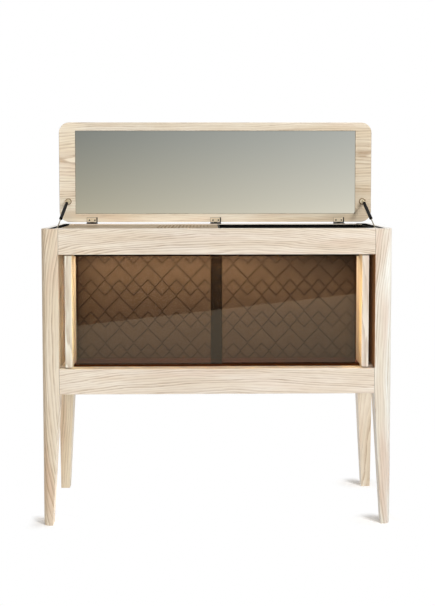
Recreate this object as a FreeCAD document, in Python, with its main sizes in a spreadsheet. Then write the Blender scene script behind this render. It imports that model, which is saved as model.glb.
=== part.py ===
"""Bar cabinet in ash: four tapered legs, a lit display case behind two sliding glass panes, and a mirrored
lid that folds up on three butt hinges and two gas struts. X runs left to right, Y front to back and Z up.
The origin lies on the floor, under the middle of the cabinet with its lid open, as it is modelled."""

import math
import os
import sys

import FreeCAD, Part
import Sketcher

DIMENSIONS = {
    # the frame
    "cabinet_width": 1200,
    "cabinet_depth": 400,
    "rim_height": 1025,
    "leg_side": 59,
    "leg_foot": 33,
    "leg_corner_radius": 22,
    "rail_height": 88,
    "rail_thickness": 38,
    "case_height": 392,
    "side_thickness": 22,
    "panel_thickness": 12,
    "panel_inset": 5,
    "lining_thickness": 8,
    "arris_radius": 1.5,
    "tenon_length": 25,
    "tenon_thickness": 12,
    "side_tenon_thickness": 8,
    "tenon_shoulder": 12,
    # the lid and its mirror
    "lid_thickness": 20,
    "lid_corner_radius": 40,
    "lid_arris_radius": 2.5,
    "lid_edge_to_pin": 5,
    "lid_back_margin": 8,
    "mirror_side_border": 62,
    "mirror_end_border": 32,
    "mirror_thickness": 4,
    "mirror_sink": 0.5,
    "mirror_bevel": 0.8,
    # the butt hinges
    "hinge_inset": 125,
    "hinge_width": 41,
    "hinge_leaf_depth": 23,
    "leaf_thickness": 1,
    "leaf_gap": 0.3,
    "knuckle_radius": 2.8,
    "hinge_pin_radius": 1.25,
    "screw_head_radius": 2.6,
    "screw_shank_radius": 1.4,
    "screw_shank_length": 10,
    "screw_spread": 21,
    "screw_row": 12,
    # the gas struts
    "strut_side_gap": 11,
    "strut_low_setback": 122,
    "strut_low_drop": 13,
    "strut_lid_reach": 84,
    "strut_lid_offset": 18,
    "tube_radius": 6,
    "tube_bore_radius": 4.8,
    "tube_end_wall": 4,
    "tube_length": 145,
    "tube_neck_radius": 2.3,
    "fitting_length": 16,
    "rod_radius": 2,
    "piston_radius": 4.4,
    "piston_length": 8,
    "rod_length": 152,
    "eye_radius": 5.5,
    "eye_thickness": 5,
    "stud_radius": 2.4,
    "bracket_thickness": 2,
    "bracket_width": 16,
    "bracket_height": 24,
    # the display case
    "case_side_gap": 21,
    "case_side_thickness": 24,
    "case_side_setback": 6,
    "reveal": 3,
    "board_thickness": 18,
    "display_depth": 112,
    "display_back_thickness": 10,
    "rear_panel_inset": 10,
    "rear_panel_thickness": 10,
    "display_floor_thickness": 3,
    # the glass panes and their tracks
    "glass_lap": 20,
    "glass_thickness": 5,
    "glass_bevel": 0.8,
    "left_glass_shift": 7.5,
    "right_glass_shift": 12,
    "track_depth": 20,
    "track_fin": 2,
    "track_base": 1.5,
    "bottom_track_height": 4.5,
    "top_track_height": 10,
    "track_lip": 2.7,
    # the two strip lights
    "rail_light_width": 12,
    "rail_light_back_gap": 4,
    "rail_light_recess": 12,
    "light_setback": 10,
    "light_width": 16,
    "light_height": 8,
    "light_wall": 1.2,
    "diffuser_thickness": 2,
    # the wells under the lid
    "well_wall": 10,
    "slot_width": 22,
    "divider_thickness": 12,
    "tray_thickness": 18,
    "tray_drop": 4,
    "groove_width": 5,
    "groove_depth": 4,
    "groove_pitch": 12.7,
    "groove_margin": 26,
    "groove_from_divider": 30,
    "liner_wall": 6,
    "liner_floor": 3,
    "liner_drop": 3,
    "bottle_well_depth": 345,
    "bottle_well_divider_gap": 24,
    "bottle_well_side_gap": 8,
    "bottle_well_front_gap": 16,
    "bottle_well_back_gap": 15,
    "bottle_well_lip": 5,
    # fits
    "clearance": 0.3,
    "running_play": 0.06,
    "glass_top_play": 1.2,
    "overrun": 5,
}
GROOVE_COUNT = 15
TOLERANCE = 0.001

document = FreeCAD.newDocument("bar_cabinet")
sheet = document.addObject("Spreadsheet::Sheet", "sizes")
for row, (alias, value) in enumerate(DIMENSIONS.items(), start=1):
    sheet.set(f"A{row}", alias.replace("_", " "))
    sheet.set(f"B{row}", str(value))
    sheet.setAlias(f"B{row}", alias)
document.recompute()


class Size:
    """A length together with the expression that gives it from the sheet."""

    def __init__(self, value, text):
        self.value = value
        self.text = text

    def __add__(self, other):
        other = as_size(other)
        return Size(self.value + other.value, f"({self.text} + {other.text})")

    __radd__ = __add__

    def __sub__(self, other):
        other = as_size(other)
        return Size(self.value - other.value, f"({self.text} - {other.text})")

    def __rsub__(self, other):
        return as_size(other) - self

    def __neg__(self):
        return Size(-self.value, f"(-{self.text})")

    def __mul__(self, factor):
        return Size(self.value * factor, f"({self.text} * {factor})")

    __rmul__ = __mul__

    def __truediv__(self, factor):
        return Size(self.value / factor, f"({self.text} / {factor})")


def root_of_squares(first, second):
    value = math.hypot(first.value, second.value)
    return Size(value, f"sqrt({first.text} ^ 2 + {second.text} ^ 2)")


def slope_angle(rise, run):
    value = math.degrees(math.atan2(rise.value, run.value))
    return Size(value, f"atan2({rise.text}; {run.text})")


def as_size(value):
    return value if isinstance(value, Size) else Size(value, str(value))


class Sizes:
    """The sheet's dimensions by their names."""


s = Sizes()
for alias, value in DIMENSIONS.items():
    setattr(s, alias, Size(value, f"sizes.{alias}"))

# Places that several pieces share, worked out from the dimensions
half_width = s.cabinet_width / 2
pin_setback = s.cabinet_depth - s.lid_back_margin - s.lid_edge_to_pin
lid_length = pin_setback - s.lid_edge_to_pin
lid_face_setback = pin_setback + s.leaf_gap / 2 + s.leaf_thickness
total_depth = lid_face_setback + s.lid_thickness
front = total_depth / -2
back = front + s.cabinet_depth
pin_y = front + pin_setback
pin_z = s.rim_height + s.leaf_thickness + s.leaf_gap / 2
lid_face_y = front + lid_face_setback
lid_foot_z = pin_z + s.lid_edge_to_pin
rail_half = half_width - s.leg_side
side_run = s.cabinet_depth - s.leg_side * 2
top_rail_z = s.rim_height - s.rail_height
low_rail_top = top_rail_z - s.case_height
low_rail_z = low_rail_top - s.rail_height
inner_front = front + s.rail_thickness
inner_back = back - s.rail_thickness
side_inner = half_width - s.side_thickness
case_half_width = rail_half - s.case_side_gap - s.case_side_thickness
case_floor_z = low_rail_top + s.reveal
case_ceiling_z = top_rail_z - s.reveal
well_floor_z = case_ceiling_z + s.board_thickness
well_half = side_inner - s.slot_width
tray_top_z = s.rim_height - s.tray_drop
tray_z = tray_top_z - s.tray_thickness
display_back_y = inner_front + s.display_depth
glass_width = case_half_width + s.glass_lap / 2
hinge_spread = half_width - s.hinge_inset
strut_plane = side_inner - s.strut_side_gap
light_half = case_half_width - s.clearance


def new_body(label, x=0, y=0, z=0):
    """An empty body with its own label, placed at x, y, z."""
    body = document.addObject("PartDesign::Body", label)
    body.Label = label
    for axis, value in zip("xyz", (x, y, z)):
        body.setExpression(f"Placement.Base.{axis}", as_size(value).text)
    return body


def new_sketch(body, plane, offset=0):
    """A sketch on one of the body's own planes, moved along +X, +Y or +Z by offset."""
    sketch = body.newObject("Sketcher::SketchObject", "Sketch")
    support = [item for item in body.Origin.OriginFeatures if item.Role == plane + "_Plane"]
    sketch.AttachmentSupport = [(support[0], "")]
    sketch.MapMode = "FlatFace"
    height = as_size(offset)
    if plane == "XZ":
        height = -height
    sketch.setExpression("AttachmentOffset.Base.z", height.text)
    return sketch


def hold_point(sketch, edge, end, name, point):
    """Holds one end of a line, or a circle's centre, at two distances from the sketch's origin."""
    for kind, size in zip("XY", point):
        size = as_size(size)
        rule = Sketcher.Constraint(f"Distance{kind}", -1, 1, edge, end, float(size.value))
        index = sketch.addConstraint(rule)
        sketch.renameConstraint(index, f"{name}_{kind.lower()}")
        sketch.setExpression(f"Constraints.{name}_{kind.lower()}", size.text)


def outline(sketch, points):
    """A closed outline through points, each one bound to the sheet."""
    first = sketch.GeometryCount
    corners = [FreeCAD.Vector(as_size(u).value, as_size(v).value, 0) for u, v in points]
    count = len(corners)
    for index, corner in enumerate(corners):
        sketch.addGeometry(Part.LineSegment(corner, corners[(index + 1) % count]), False)
    for index in range(count):
        following = first + (index + 1) % count
        sketch.addConstraint(Sketcher.Constraint("Coincident", first + index, 2, following, 1))
    for index, point in enumerate(points):
        hold_point(sketch, first + index, 1, f"p{first + index}", point)
    return sketch


def rectangle(sketch, low_u, low_v, high_u, high_v):
    return outline(sketch, [(low_u, low_v), (high_u, low_v), (high_u, high_v), (low_u, high_v)])


def circle(sketch, centre, radius):
    edge = sketch.GeometryCount
    middle = FreeCAD.Vector(as_size(centre[0]).value, as_size(centre[1]).value, 0)
    sketch.addGeometry(Part.Circle(middle, FreeCAD.Vector(0, 0, 1), radius.value), False)
    hold_point(sketch, edge, 3, f"c{edge}", centre)
    index = sketch.addConstraint(Sketcher.Constraint("Radius", edge, radius.value))
    sketch.renameConstraint(index, f"r{edge}")
    sketch.setExpression(f"Constraints.r{edge}", radius.text)
    return sketch


def pad(body, sketch, length, backwards=False, both_ways=False):
    feature = body.newObject("PartDesign::Pad", "Pad")
    feature.Profile = sketch
    feature.setExpression("Length", as_size(length).text)
    feature.Reversed = backwards
    if both_ways:
        feature.SideType = "Symmetric"
    document.recompute()
    return feature


def pocket(body, sketch, depth, backwards=False, both_ways=False):
    """Cuts against the sketch's own direction, or along it where backwards is true."""
    before = body.Shape.Volume
    feature = body.newObject("PartDesign::Pocket", "Pocket")
    feature.Profile = sketch
    feature.setExpression("Length", as_size(depth).text)
    feature.Reversed = backwards
    if both_ways:
        feature.SideType = "Symmetric"
    document.recompute()
    if body.Shape.Volume >= before:
        sys.exit(f"a pocket in {body.Label} cuts nothing")
    return feature


def edges_where(shape, test):
    """The names of the edges whose two ends and middle all pass the test."""
    names = []
    for index, edge in enumerate(shape.Edges, start=1):
        points = [vertex.Point for vertex in edge.Vertexes]
        points.append(edge.valueAt((edge.FirstParameter + edge.LastParameter) / 2))
        if all(test(point) for point in points):
            names.append(f"Edge{index}")
    return names


def round_edges(body, radius, test):
    """Rounds the edges of the body's last feature that pass the test, in the body's own coordinates."""
    base = body.Tip
    names = edges_where(base.Shape, test)
    feature = body.newObject("PartDesign::Fillet", "Fillet")
    feature.Base = (base, names)
    feature.setExpression("Radius", radius.text)
    document.recompute()
    return feature


def near(value, size):
    """True where a coordinate lies on a size."""
    return abs(value - as_size(size).value) < TOLERANCE


def box(label, low, high):
    """A plain board between two corners."""
    board = document.addObject("Part::Box", label)
    board.Label = label
    for side, axis, start, end in zip(("Length", "Width", "Height"), "xyz", low, high):
        start = as_size(start)
        board.setExpression(side, (end - start).text)
        board.setExpression(f"Placement.Base.{axis}", start.text)
    return board


def mirrored_span(side, inner, outer):
    """The low and high X of a span that runs from inner to outer on the left (-1) or the right (1)."""
    return (inner, outer) if side > 0 else (-outer, -inner)


# The frame: legs, rails and panels


def make_leg(label, inward_x, inward_y):
    """A square leg: its outer corner rounded, its inner faces tapered below the rails, and four mortises."""
    body = new_body(label, half_width * -inward_x, front if inward_y > 0 else back)
    section = rectangle(new_sketch(body, "XY"), 0, 0, s.leg_side * inward_x, s.leg_side * inward_y)
    pad(body, section, s.rim_height)
    beyond = s.leg_side + s.overrun
    for plane, inward in (("XZ", inward_x), ("YZ", inward_y)):
        wedge = [
            (s.leg_foot * inward, 0),
            (s.leg_side * inward, low_rail_z),
            (beyond * inward, low_rail_z),
            (beyond * inward, 0),
        ]
        pocket(body, outline(new_sketch(body, plane), wedge), beyond * 2, both_ways=True)
    round_edges(body, s.leg_corner_radius, lambda p: near(p.x, 0) and near(p.y, 0))
    joints = (
        ("YZ", inward_x, inward_y, s.rail_thickness, s.tenon_thickness, inward_x < 0),
        ("XZ", inward_y, inward_x, s.side_thickness, s.side_tenon_thickness, inward_y > 0),
    )
    for plane, inward, across, rail, tenon, backwards in joints:
        for rail_z in (low_rail_z, top_rail_z):
            sketch = new_sketch(body, plane, s.leg_side * inward)
            near_edge = (rail - tenon) / 2 - s.clearance
            far_edge = (rail + tenon) / 2 + s.clearance
            low = rail_z + s.tenon_shoulder - s.clearance
            high = rail_z + s.rail_height - s.tenon_shoulder + s.clearance
            rectangle(sketch, near_edge * across, low, far_edge * across, high)
            pocket(body, sketch, s.tenon_length + s.clearance, backwards=backwards)
    return body


def make_long_rail(label, y, z, outer):
    """A rail between two legs, with a tenon at each end and the edges of its outer face eased."""
    body = new_body(label, 0, y, z)
    section = rectangle(new_sketch(body, "YZ"), 0, 0, s.rail_thickness, s.rail_height)
    pad(body, section, rail_half * 2, both_ways=True)
    round_edges(
        body,
        s.arris_radius,
        lambda p: near(p.y, outer) and (near(p.z, 0) or near(p.z, s.rail_height)),
    )
    tenon = rectangle(
        new_sketch(body, "YZ"),
        (s.rail_thickness - s.tenon_thickness) / 2,
        s.tenon_shoulder,
        (s.rail_thickness + s.tenon_thickness) / 2,
        s.rail_height - s.tenon_shoulder,
    )
    pad(body, tenon, (rail_half + s.tenon_length) * 2, both_ways=True)
    return body


def make_side_rail(label, inward, z):
    """A thinner rail from front leg to back leg, flush with their outer faces."""
    body = new_body(label, half_width * -inward, front + s.leg_side, z)
    section = rectangle(new_sketch(body, "XZ"), 0, 0, s.side_thickness * inward, s.rail_height)
    pad(body, section, side_run, backwards=True)
    tenon = rectangle(
        new_sketch(body, "XZ", -s.tenon_length),
        (s.side_thickness - s.side_tenon_thickness) / 2 * inward,
        s.tenon_shoulder,
        (s.side_thickness + s.side_tenon_thickness) / 2 * inward,
        s.rail_height - s.tenon_shoulder,
    )
    pad(body, tenon, side_run + s.tenon_length * 2, backwards=True)
    return body


def cut_hinge_seats(rail):
    """Sinks the back top rail under the three knuckles, and drills it for the hinge screws."""
    pin_line = pin_setback - (s.cabinet_depth - s.rail_thickness)
    reach = s.knuckle_radius + s.clearance
    seats = new_sketch(rail, "XY", s.rail_height)
    for x in hinge_places.values():
        half = s.hinge_width / 2 + s.clearance
        rectangle(seats, x - half, pin_line - reach, x + half, pin_line + reach)
    pocket(rail, seats, reach - s.leaf_thickness - s.leaf_gap / 2)
    holes = new_sketch(rail, "XY", s.rail_height)
    for x in screw_places():
        circle(holes, (x, pin_line - s.screw_row), s.screw_shank_radius + s.running_play)
    pocket(rail, holes, s.screw_shank_length + s.clearance)


def cut_light_groove(rail):
    """Cuts a groove under the front top rail, near its back, for the strip that lights the case's front."""
    low_y = s.rail_thickness - s.rail_light_back_gap - s.rail_light_width
    mouth = rectangle(new_sketch(rail, "XY"), -light_half, low_y, light_half, low_y + s.rail_light_width)
    pocket(rail, mouth, s.rail_light_recess + s.diffuser_thickness, backwards=True)


hinge_places = {"left": -hinge_spread, "centre": Size(0, "0"), "right": hinge_spread}


def screw_places():
    return [x + s.screw_spread / 2 * way for x in hinge_places.values() for way in (-1, 1)]


parts = [
    make_leg("leg_front_left", 1, 1),
    make_leg("leg_front_right", -1, 1),
    make_leg("leg_back_left", 1, -1),
    make_leg("leg_back_right", -1, -1),
    make_long_rail("front_bottom_rail", front, low_rail_z, 0),
    make_long_rail("back_bottom_rail", inner_back, low_rail_z, s.rail_thickness),
]
front_top_rail = make_long_rail("front_top_rail", front, top_rail_z, 0)
cut_light_groove(front_top_rail)
back_top_rail = make_long_rail("back_top_rail", inner_back, top_rail_z, s.rail_thickness)
cut_hinge_seats(back_top_rail)
parts += [front_top_rail, back_top_rail]
rail_light_y = inner_front - s.rail_light_back_gap
rail_light_z = top_rail_z + s.rail_light_recess
parts.append(
    box(
        "rail_light_diffuser",
        (-light_half, rail_light_y - s.rail_light_width, rail_light_z),
        (light_half, rail_light_y, rail_light_z + s.diffuser_thickness),
    )
)
for name, inward in (("left", 1), ("right", -1)):
    parts.append(make_side_rail(f"side_top_rail_{name}", inward, top_rail_z))
    parts.append(make_side_rail(f"side_bottom_rail_{name}", inward, low_rail_z))
    panel_x = half_width - s.panel_inset
    low_x, high_x = mirrored_span(-inward, panel_x - s.panel_thickness, panel_x)
    low = (low_x, front + s.leg_side, low_rail_top)
    high = (high_x, back - s.leg_side, top_rail_z)
    parts.append(box(f"side_panel_{name}", low, high))
    low_x, high_x = mirrored_span(-inward, rail_half, rail_half + s.lining_thickness)
    low = (low_x, front + s.leg_side, case_floor_z)
    high = (high_x, back - s.leg_side, case_ceiling_z)
    parts.append(box(f"side_lining_{name}", low, high))
rear_panel_y = back - s.rear_panel_inset
parts.append(
    box(
        "rear_panel",
        (-rail_half, rear_panel_y - s.rear_panel_thickness, low_rail_top),
        (rail_half, rear_panel_y, top_rail_z),
    )
)


# The display case


def notched_side(side, reach, y_low, y_high, wall=0, gap=0):
    """The points of a board's end that fits round the front and back legs on one side, from front to back."""
    inner = (rail_half - wall - gap) * side
    outer = (reach - wall) * side
    leg_front = front + s.leg_side + wall + gap
    leg_back = back - s.leg_side - wall - gap
    return [
        (inner, y_low),
        (inner, leg_front),
        (outer, leg_front),
        (outer, leg_back),
        (inner, leg_back),
        (inner, y_high),
    ]


def make_case_board(label, z):
    """A full board that reaches both side rails and is cut out round the four legs."""
    body = new_body(label, 0, 0, z)
    right = notched_side(1, side_inner, inner_front, inner_back)
    left = notched_side(-1, side_inner, inner_front, inner_back)
    pad(body, outline(new_sketch(body, "XY"), right + left[::-1]), s.board_thickness)
    return body


bottom_board = make_case_board("bottom_board", case_floor_z - s.board_thickness)
rabbet = rectangle(
    new_sketch(bottom_board, "XY", s.board_thickness),
    -case_half_width,
    inner_front - s.overrun,
    case_half_width,
    inner_front + s.reveal,
)
pocket(bottom_board, rabbet, s.reveal)
parts.append(bottom_board)

well_x = s.bottle_well_divider_gap
well_end_x = case_half_width - s.bottle_well_side_gap
well_back_y = inner_back - s.bottle_well_back_gap
well_front_y = display_back_y + s.display_back_thickness + s.bottle_well_front_gap
well_floor = make_case_board("well_floor", case_ceiling_z)
track_groove = rectangle(
    new_sketch(well_floor, "XY"),
    -case_half_width,
    inner_front - s.overrun,
    case_half_width,
    inner_front + s.track_depth,
)
pocket(well_floor, track_groove, s.top_track_height, backwards=True)
cut_out = new_sketch(well_floor, "XY", s.board_thickness)
rectangle(cut_out, well_x, well_front_y, well_end_x, well_back_y)
pocket(well_floor, cut_out, s.board_thickness)
parts.append(well_floor)


def make_case_side(label, side):
    """An upright board whose front edge shows between the pane and the leg."""
    body = new_body(label, 0, 0, case_floor_z)
    low_x, high_x = mirrored_span(side, case_half_width, case_half_width + s.case_side_thickness)
    edge_y = front + s.case_side_setback
    section = rectangle(new_sketch(body, "XY"), low_x, edge_y, high_x, inner_back)
    pad(body, section, case_ceiling_z - case_floor_z)
    round_edges(
        body,
        s.arris_radius,
        lambda p: near(p.y, edge_y) and (near(p.x, low_x) or near(p.x, high_x)),
    )
    return body


def make_profile(label, y, z, points, half_length):
    """A straight section along X, the same length to each side."""
    body = new_body(label, 0, y, z)
    pad(body, outline(new_sketch(body, "YZ"), points), half_length * 2, both_ways=True)
    return body


def make_tracks():
    """The two-channel tracks that the panes slide in: the bottom one laps the board's edge."""
    deep = s.track_depth
    fin = s.track_fin
    middle_front = (deep - fin) / 2
    middle_back = (deep + fin) / 2
    base = s.reveal + s.track_base
    top = s.reveal + s.bottom_track_height
    lower = [
        (0, 0),
        (s.track_lip, 0),
        (s.track_lip, s.reveal),
        (deep, s.reveal),
        (deep, top),
        (deep - fin, top),
        (deep - fin, base),
        (middle_back, base),
        (middle_back, top),
        (middle_front, top),
        (middle_front, base),
        (fin, base),
        (fin, top),
        (0, top),
    ]
    roof = s.top_track_height - s.track_base
    upper = [
        (0, 0),
        (fin, 0),
        (fin, roof),
        (middle_front, roof),
        (middle_front, 0),
        (middle_back, 0),
        (middle_back, roof),
        (deep - fin, roof),
        (deep - fin, 0),
        (deep, 0),
        (deep, s.top_track_height),
        (0, s.top_track_height),
    ]
    length = case_half_width - s.clearance
    return [
        make_profile("glass_track_bottom", inner_front, low_rail_top, lower, length),
        make_profile("glass_track_top", inner_front, case_ceiling_z, upper, length),
    ]


def make_pane(label, low_x, channel_middle):
    """A bevelled glass pane standing in one channel of the tracks."""
    low_z = case_floor_z + s.track_base + s.clearance
    high_z = case_ceiling_z + s.top_track_height - s.track_base - s.glass_top_play
    body = new_body(label, low_x, inner_front + channel_middle - s.glass_thickness / 2, low_z)
    section = rectangle(new_sketch(body, "XY"), 0, 0, glass_width, s.glass_thickness)
    pad(body, section, high_z - low_z)
    base = body.Tip
    bevel = body.newObject("PartDesign::Chamfer", "Chamfer")
    bevel.Base = (base, edges_where(base.Shape, lambda p: near(p.y, 0) or near(p.y, s.glass_thickness)))
    bevel.setExpression("Size", s.glass_bevel.text)
    document.recompute()
    return body


parts.append(make_case_side("case_side_left", -1))
parts.append(make_case_side("case_side_right", 1))
parts += make_tracks()
channel = (s.track_depth - s.track_fin * 3) / 2
front_channel = s.track_fin + channel / 2
rear_channel = s.track_depth - front_channel
pane_stop = case_half_width - s.clearance
parts.append(make_pane("left_glass_pane", s.left_glass_shift - pane_stop, front_channel))
parts.append(make_pane("right_glass_pane", pane_stop - s.right_glass_shift - glass_width, rear_channel))
track_back_y = inner_front + s.track_depth
parts.append(
    box(
        "display_floor",
        (-case_half_width, track_back_y, case_floor_z),
        (case_half_width, display_back_y, case_floor_z + s.display_floor_thickness),
    )
)
parts.append(
    box(
        "display_back",
        (-case_half_width, display_back_y, case_floor_z),
        (case_half_width, display_back_y + s.display_back_thickness, case_ceiling_z),
    )
)
light_y = track_back_y + s.light_setback
light_section = [
    (0, 0),
    (s.light_width, 0),
    (s.light_width, -s.light_height),
    (s.light_width - s.light_wall, -s.light_height),
    (s.light_width - s.light_wall, -s.light_wall),
    (s.light_wall, -s.light_wall),
    (s.light_wall, -s.light_height),
    (0, -s.light_height),
]
parts.append(make_profile("light_channel", light_y, case_ceiling_z, light_section, light_half))
light_mouth_z = case_ceiling_z - s.light_height
parts.append(
    box(
        "light_diffuser",
        (-light_half, light_y + s.light_wall, light_mouth_z),
        (light_half, light_y + s.light_width - s.light_wall, light_mouth_z + s.diffuser_thickness),
    )
)


# The wells under the lid


def make_tray():
    """The board over the left well, notched round the legs, with a row of drip grooves from front to back."""
    body = new_body("tray_board", 0, 0, tray_z)
    y_low = inner_front + s.clearance
    y_high = inner_back - s.clearance
    right_x = s.divider_thickness / 2
    left = notched_side(-1, well_half, y_low, y_high, gap=s.clearance)
    pad(body, outline(new_sketch(body, "XY"), [(right_x, y_high), (right_x, y_low)] + left), s.tray_thickness)
    groove_x = -s.groove_from_divider
    groove = rectangle(
        new_sketch(body, "XY", s.tray_thickness),
        groove_x - s.groove_width,
        y_low + s.groove_margin,
        groove_x,
        y_high - s.groove_margin,
    )
    cut = pocket(body, groove, s.groove_depth)
    before = body.Shape.Volume
    pattern = body.newObject("PartDesign::LinearPattern", "LinearPattern")
    pattern.Originals = [cut]
    pattern.Direction = (groove, ["H_Axis"])
    pattern.Reversed = True
    pattern.setExpression("Length", (s.groove_pitch * (GROOVE_COUNT - 1)).text)
    pattern.Occurrences = GROOVE_COUNT
    body.Tip = pattern
    document.recompute()
    if body.Shape.Volume >= before:
        sys.exit("the row of grooves cuts nothing")
    return body


def make_bar_liner():
    """The shallow black liner of the right well, open at the top and cut out for the bottle well's lip."""
    body = new_body("bar_well_liner", 0, 0, well_floor_z)
    low_x = s.divider_thickness / 2 + s.clearance
    y_low = inner_front + s.clearance
    y_high = inner_back - s.clearance
    height = s.rim_height - s.liner_drop - well_floor_z
    outer = notched_side(1, well_half, y_low, y_high, gap=s.clearance)
    pad(body, outline(new_sketch(body, "XY"), [(low_x, y_high), (low_x, y_low)] + outer), height)
    wall = s.liner_wall
    inner = notched_side(1, well_half, y_low + wall, y_high - wall, wall, s.clearance)
    corner_x = low_x + wall
    hollow = [(corner_x, y_high - wall), (corner_x, y_low + wall)] + inner
    pocket(body, outline(new_sketch(body, "XY", height), hollow), height - s.liner_floor)
    reach = s.bottle_well_lip + s.clearance
    hole = rectangle(
        new_sketch(body, "XY", s.liner_floor),
        well_x - reach,
        well_front_y - reach,
        well_end_x + reach,
        well_back_y + reach,
    )
    pocket(body, hole, s.liner_floor)
    return body


def make_bottle_liner():
    """The deep box that bottles stand in: it hangs in the well floor's cut-out by a lip."""
    inside_z = s.rim_height - s.bottle_well_depth
    body = new_body("bottle_well_liner", 0, 0, inside_z - s.liner_wall)
    height = well_floor_z + s.liner_floor - inside_z + s.liner_wall

    def ring(offset, z):
        sketch = new_sketch(body, "XY", z)
        low = (well_x + offset, well_front_y + offset)
        return rectangle(sketch, *low, well_end_x - offset, well_back_y - offset)

    pad(body, ring(s.clearance, 0), height)
    pad(body, ring(-s.bottle_well_lip, height - s.liner_floor), s.liner_floor)
    pocket(body, ring(s.clearance + s.liner_wall, height), height - s.liner_wall)
    return body


parts.append(
    box(
        "well_divider",
        (s.divider_thickness / -2, inner_front, well_floor_z),
        (s.divider_thickness / 2, inner_back, tray_z),
    )
)
parts.append(
    box(
        "well_side_left",
        (-well_half, front + s.leg_side, well_floor_z),
        (s.well_wall - well_half, back - s.leg_side, tray_z),
    )
)
parts.append(make_tray())
parts.append(make_bar_liner())
parts.append(make_bottle_liner())


# The lid, its mirror and its hinges


def make_lid():
    """The lid standing open: rounded corners, a sunk bed for the mirror, and holes for the hinge screws."""
    body = new_body("lid_panel", 0, lid_face_y, lid_foot_z)
    slab = rectangle(new_sketch(body, "XZ"), -half_width, 0, half_width, lid_length)
    pad(body, slab, s.lid_thickness, backwards=True)
    round_edges(
        body,
        s.lid_corner_radius,
        lambda p: near(abs(p.x), half_width) and (near(p.z, 0) or near(p.z, lid_length)),
    )
    round_edges(
        body,
        s.lid_arris_radius,
        lambda p: near(p.y, 0) or near(p.y, s.lid_thickness),
    )
    bed = rectangle(
        new_sketch(body, "XZ"),
        s.mirror_side_border - half_width - s.clearance,
        s.mirror_end_border - s.clearance,
        half_width - s.mirror_side_border + s.clearance,
        lid_length - s.mirror_end_border + s.clearance,
    )
    pocket(body, bed, s.mirror_thickness + s.mirror_sink)
    holes = new_sketch(body, "XZ")
    for x in screw_places():
        circle(holes, (x, s.screw_row - s.lid_edge_to_pin), s.screw_shank_radius + s.running_play)
    pocket(body, holes, s.screw_shank_length + s.clearance)
    return body


def make_mirror():
    """The sheet of mirror glass in the lid, bevelled round its face."""
    body = new_body("lid_mirror", 0, lid_face_y + s.mirror_sink, lid_foot_z)
    half = half_width - s.mirror_side_border
    sheet_outline = rectangle(
        new_sketch(body, "XZ"), -half, s.mirror_end_border, half, lid_length - s.mirror_end_border
    )
    pad(body, sheet_outline, s.mirror_thickness, backwards=True)
    base = body.Tip
    bevel = body.newObject("PartDesign::Chamfer", "Chamfer")
    bevel.Base = (base, edges_where(base.Shape, lambda p: near(p.y, 0)))
    bevel.setExpression("Size", s.mirror_bevel.text)
    document.recompute()
    return body


def make_leaf(label, x, on_lid):
    """Half of a butt hinge: the lid's leaf stands up with the middle knuckle, the rail's lies flat."""
    body = new_body(label, x, pin_y, pin_z)
    near_face = s.leaf_gap / 2
    far_face = near_face + s.leaf_thickness
    if on_lid:
        leaf = (near_face, 0, far_face, s.hinge_leaf_depth)
    else:
        leaf = (-s.hinge_leaf_depth, -far_face, 0, -near_face)
    pad(body, rectangle(new_sketch(body, "YZ"), *leaf), s.hinge_width, both_ways=True)
    pad(body, circle(new_sketch(body, "YZ"), (0, 0), s.knuckle_radius), s.hinge_width, both_ways=True)
    bore = circle(new_sketch(body, "YZ"), (0, 0), s.hinge_pin_radius + s.running_play)
    pocket(body, bore, s.hinge_width + s.overrun, both_ways=True)
    half_knuckle = s.hinge_width / 6
    reach = s.knuckle_radius + s.clearance
    beyond = s.hinge_width / 2 + s.overrun
    if on_lid:
        slots = new_sketch(body, "XY", -reach)
        for side in (-1, 1):
            low_x, high_x = mirrored_span(side, half_knuckle, beyond)
            rectangle(slots, low_x, -reach, high_x, reach)
        pocket(body, slots, reach * 2, backwards=True)
    else:
        middle = rectangle(new_sketch(body, "YZ"), -reach, -reach, reach, reach)
        pocket(body, middle, (half_knuckle + s.clearance) * 2, both_ways=True)
    plane = "XZ" if on_lid else "XY"
    row = s.screw_row if on_lid else -s.screw_row
    holes = new_sketch(body, plane)
    for way in (-1, 1):
        circle(holes, (s.screw_spread / 2 * way, row), s.screw_head_radius + s.running_play)
    pocket(body, holes, far_face * 2 + s.overrun, both_ways=True)
    return body


def turned_primitive(kind, label, rotation, place):
    piece = document.addObject(kind, label)
    piece.Placement = FreeCAD.Placement(FreeCAD.Vector(), rotation)
    for axis, value in zip("xyz", place):
        piece.setExpression(f"Placement.Base.{axis}", as_size(value).text)
    return piece


def make_screws(label, rotation, heads):
    """Countersunk screws, one at each place, all driven the same way."""
    screws = []
    for head_place, shank_place in heads:
        head = turned_primitive("Part::Cone", f"{label}_head", rotation, head_place)
        head.setExpression("Radius1", s.screw_head_radius.text)
        head.setExpression("Radius2", s.screw_shank_radius.text)
        head.setExpression("Height", s.leaf_thickness.text)
        shank = turned_primitive("Part::Cylinder", f"{label}_shank", rotation, shank_place)
        shank.setExpression("Radius", s.screw_shank_radius.text)
        shank.setExpression("Height", s.screw_shank_length.text)
        screw = document.addObject("Part::Fuse", f"{label}_screw")
        screw.Base = head
        screw.Tool = shank
        screws.append(screw)
    group = document.addObject("Part::Compound", label)
    group.Label = label
    group.Links = screws
    return group


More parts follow.
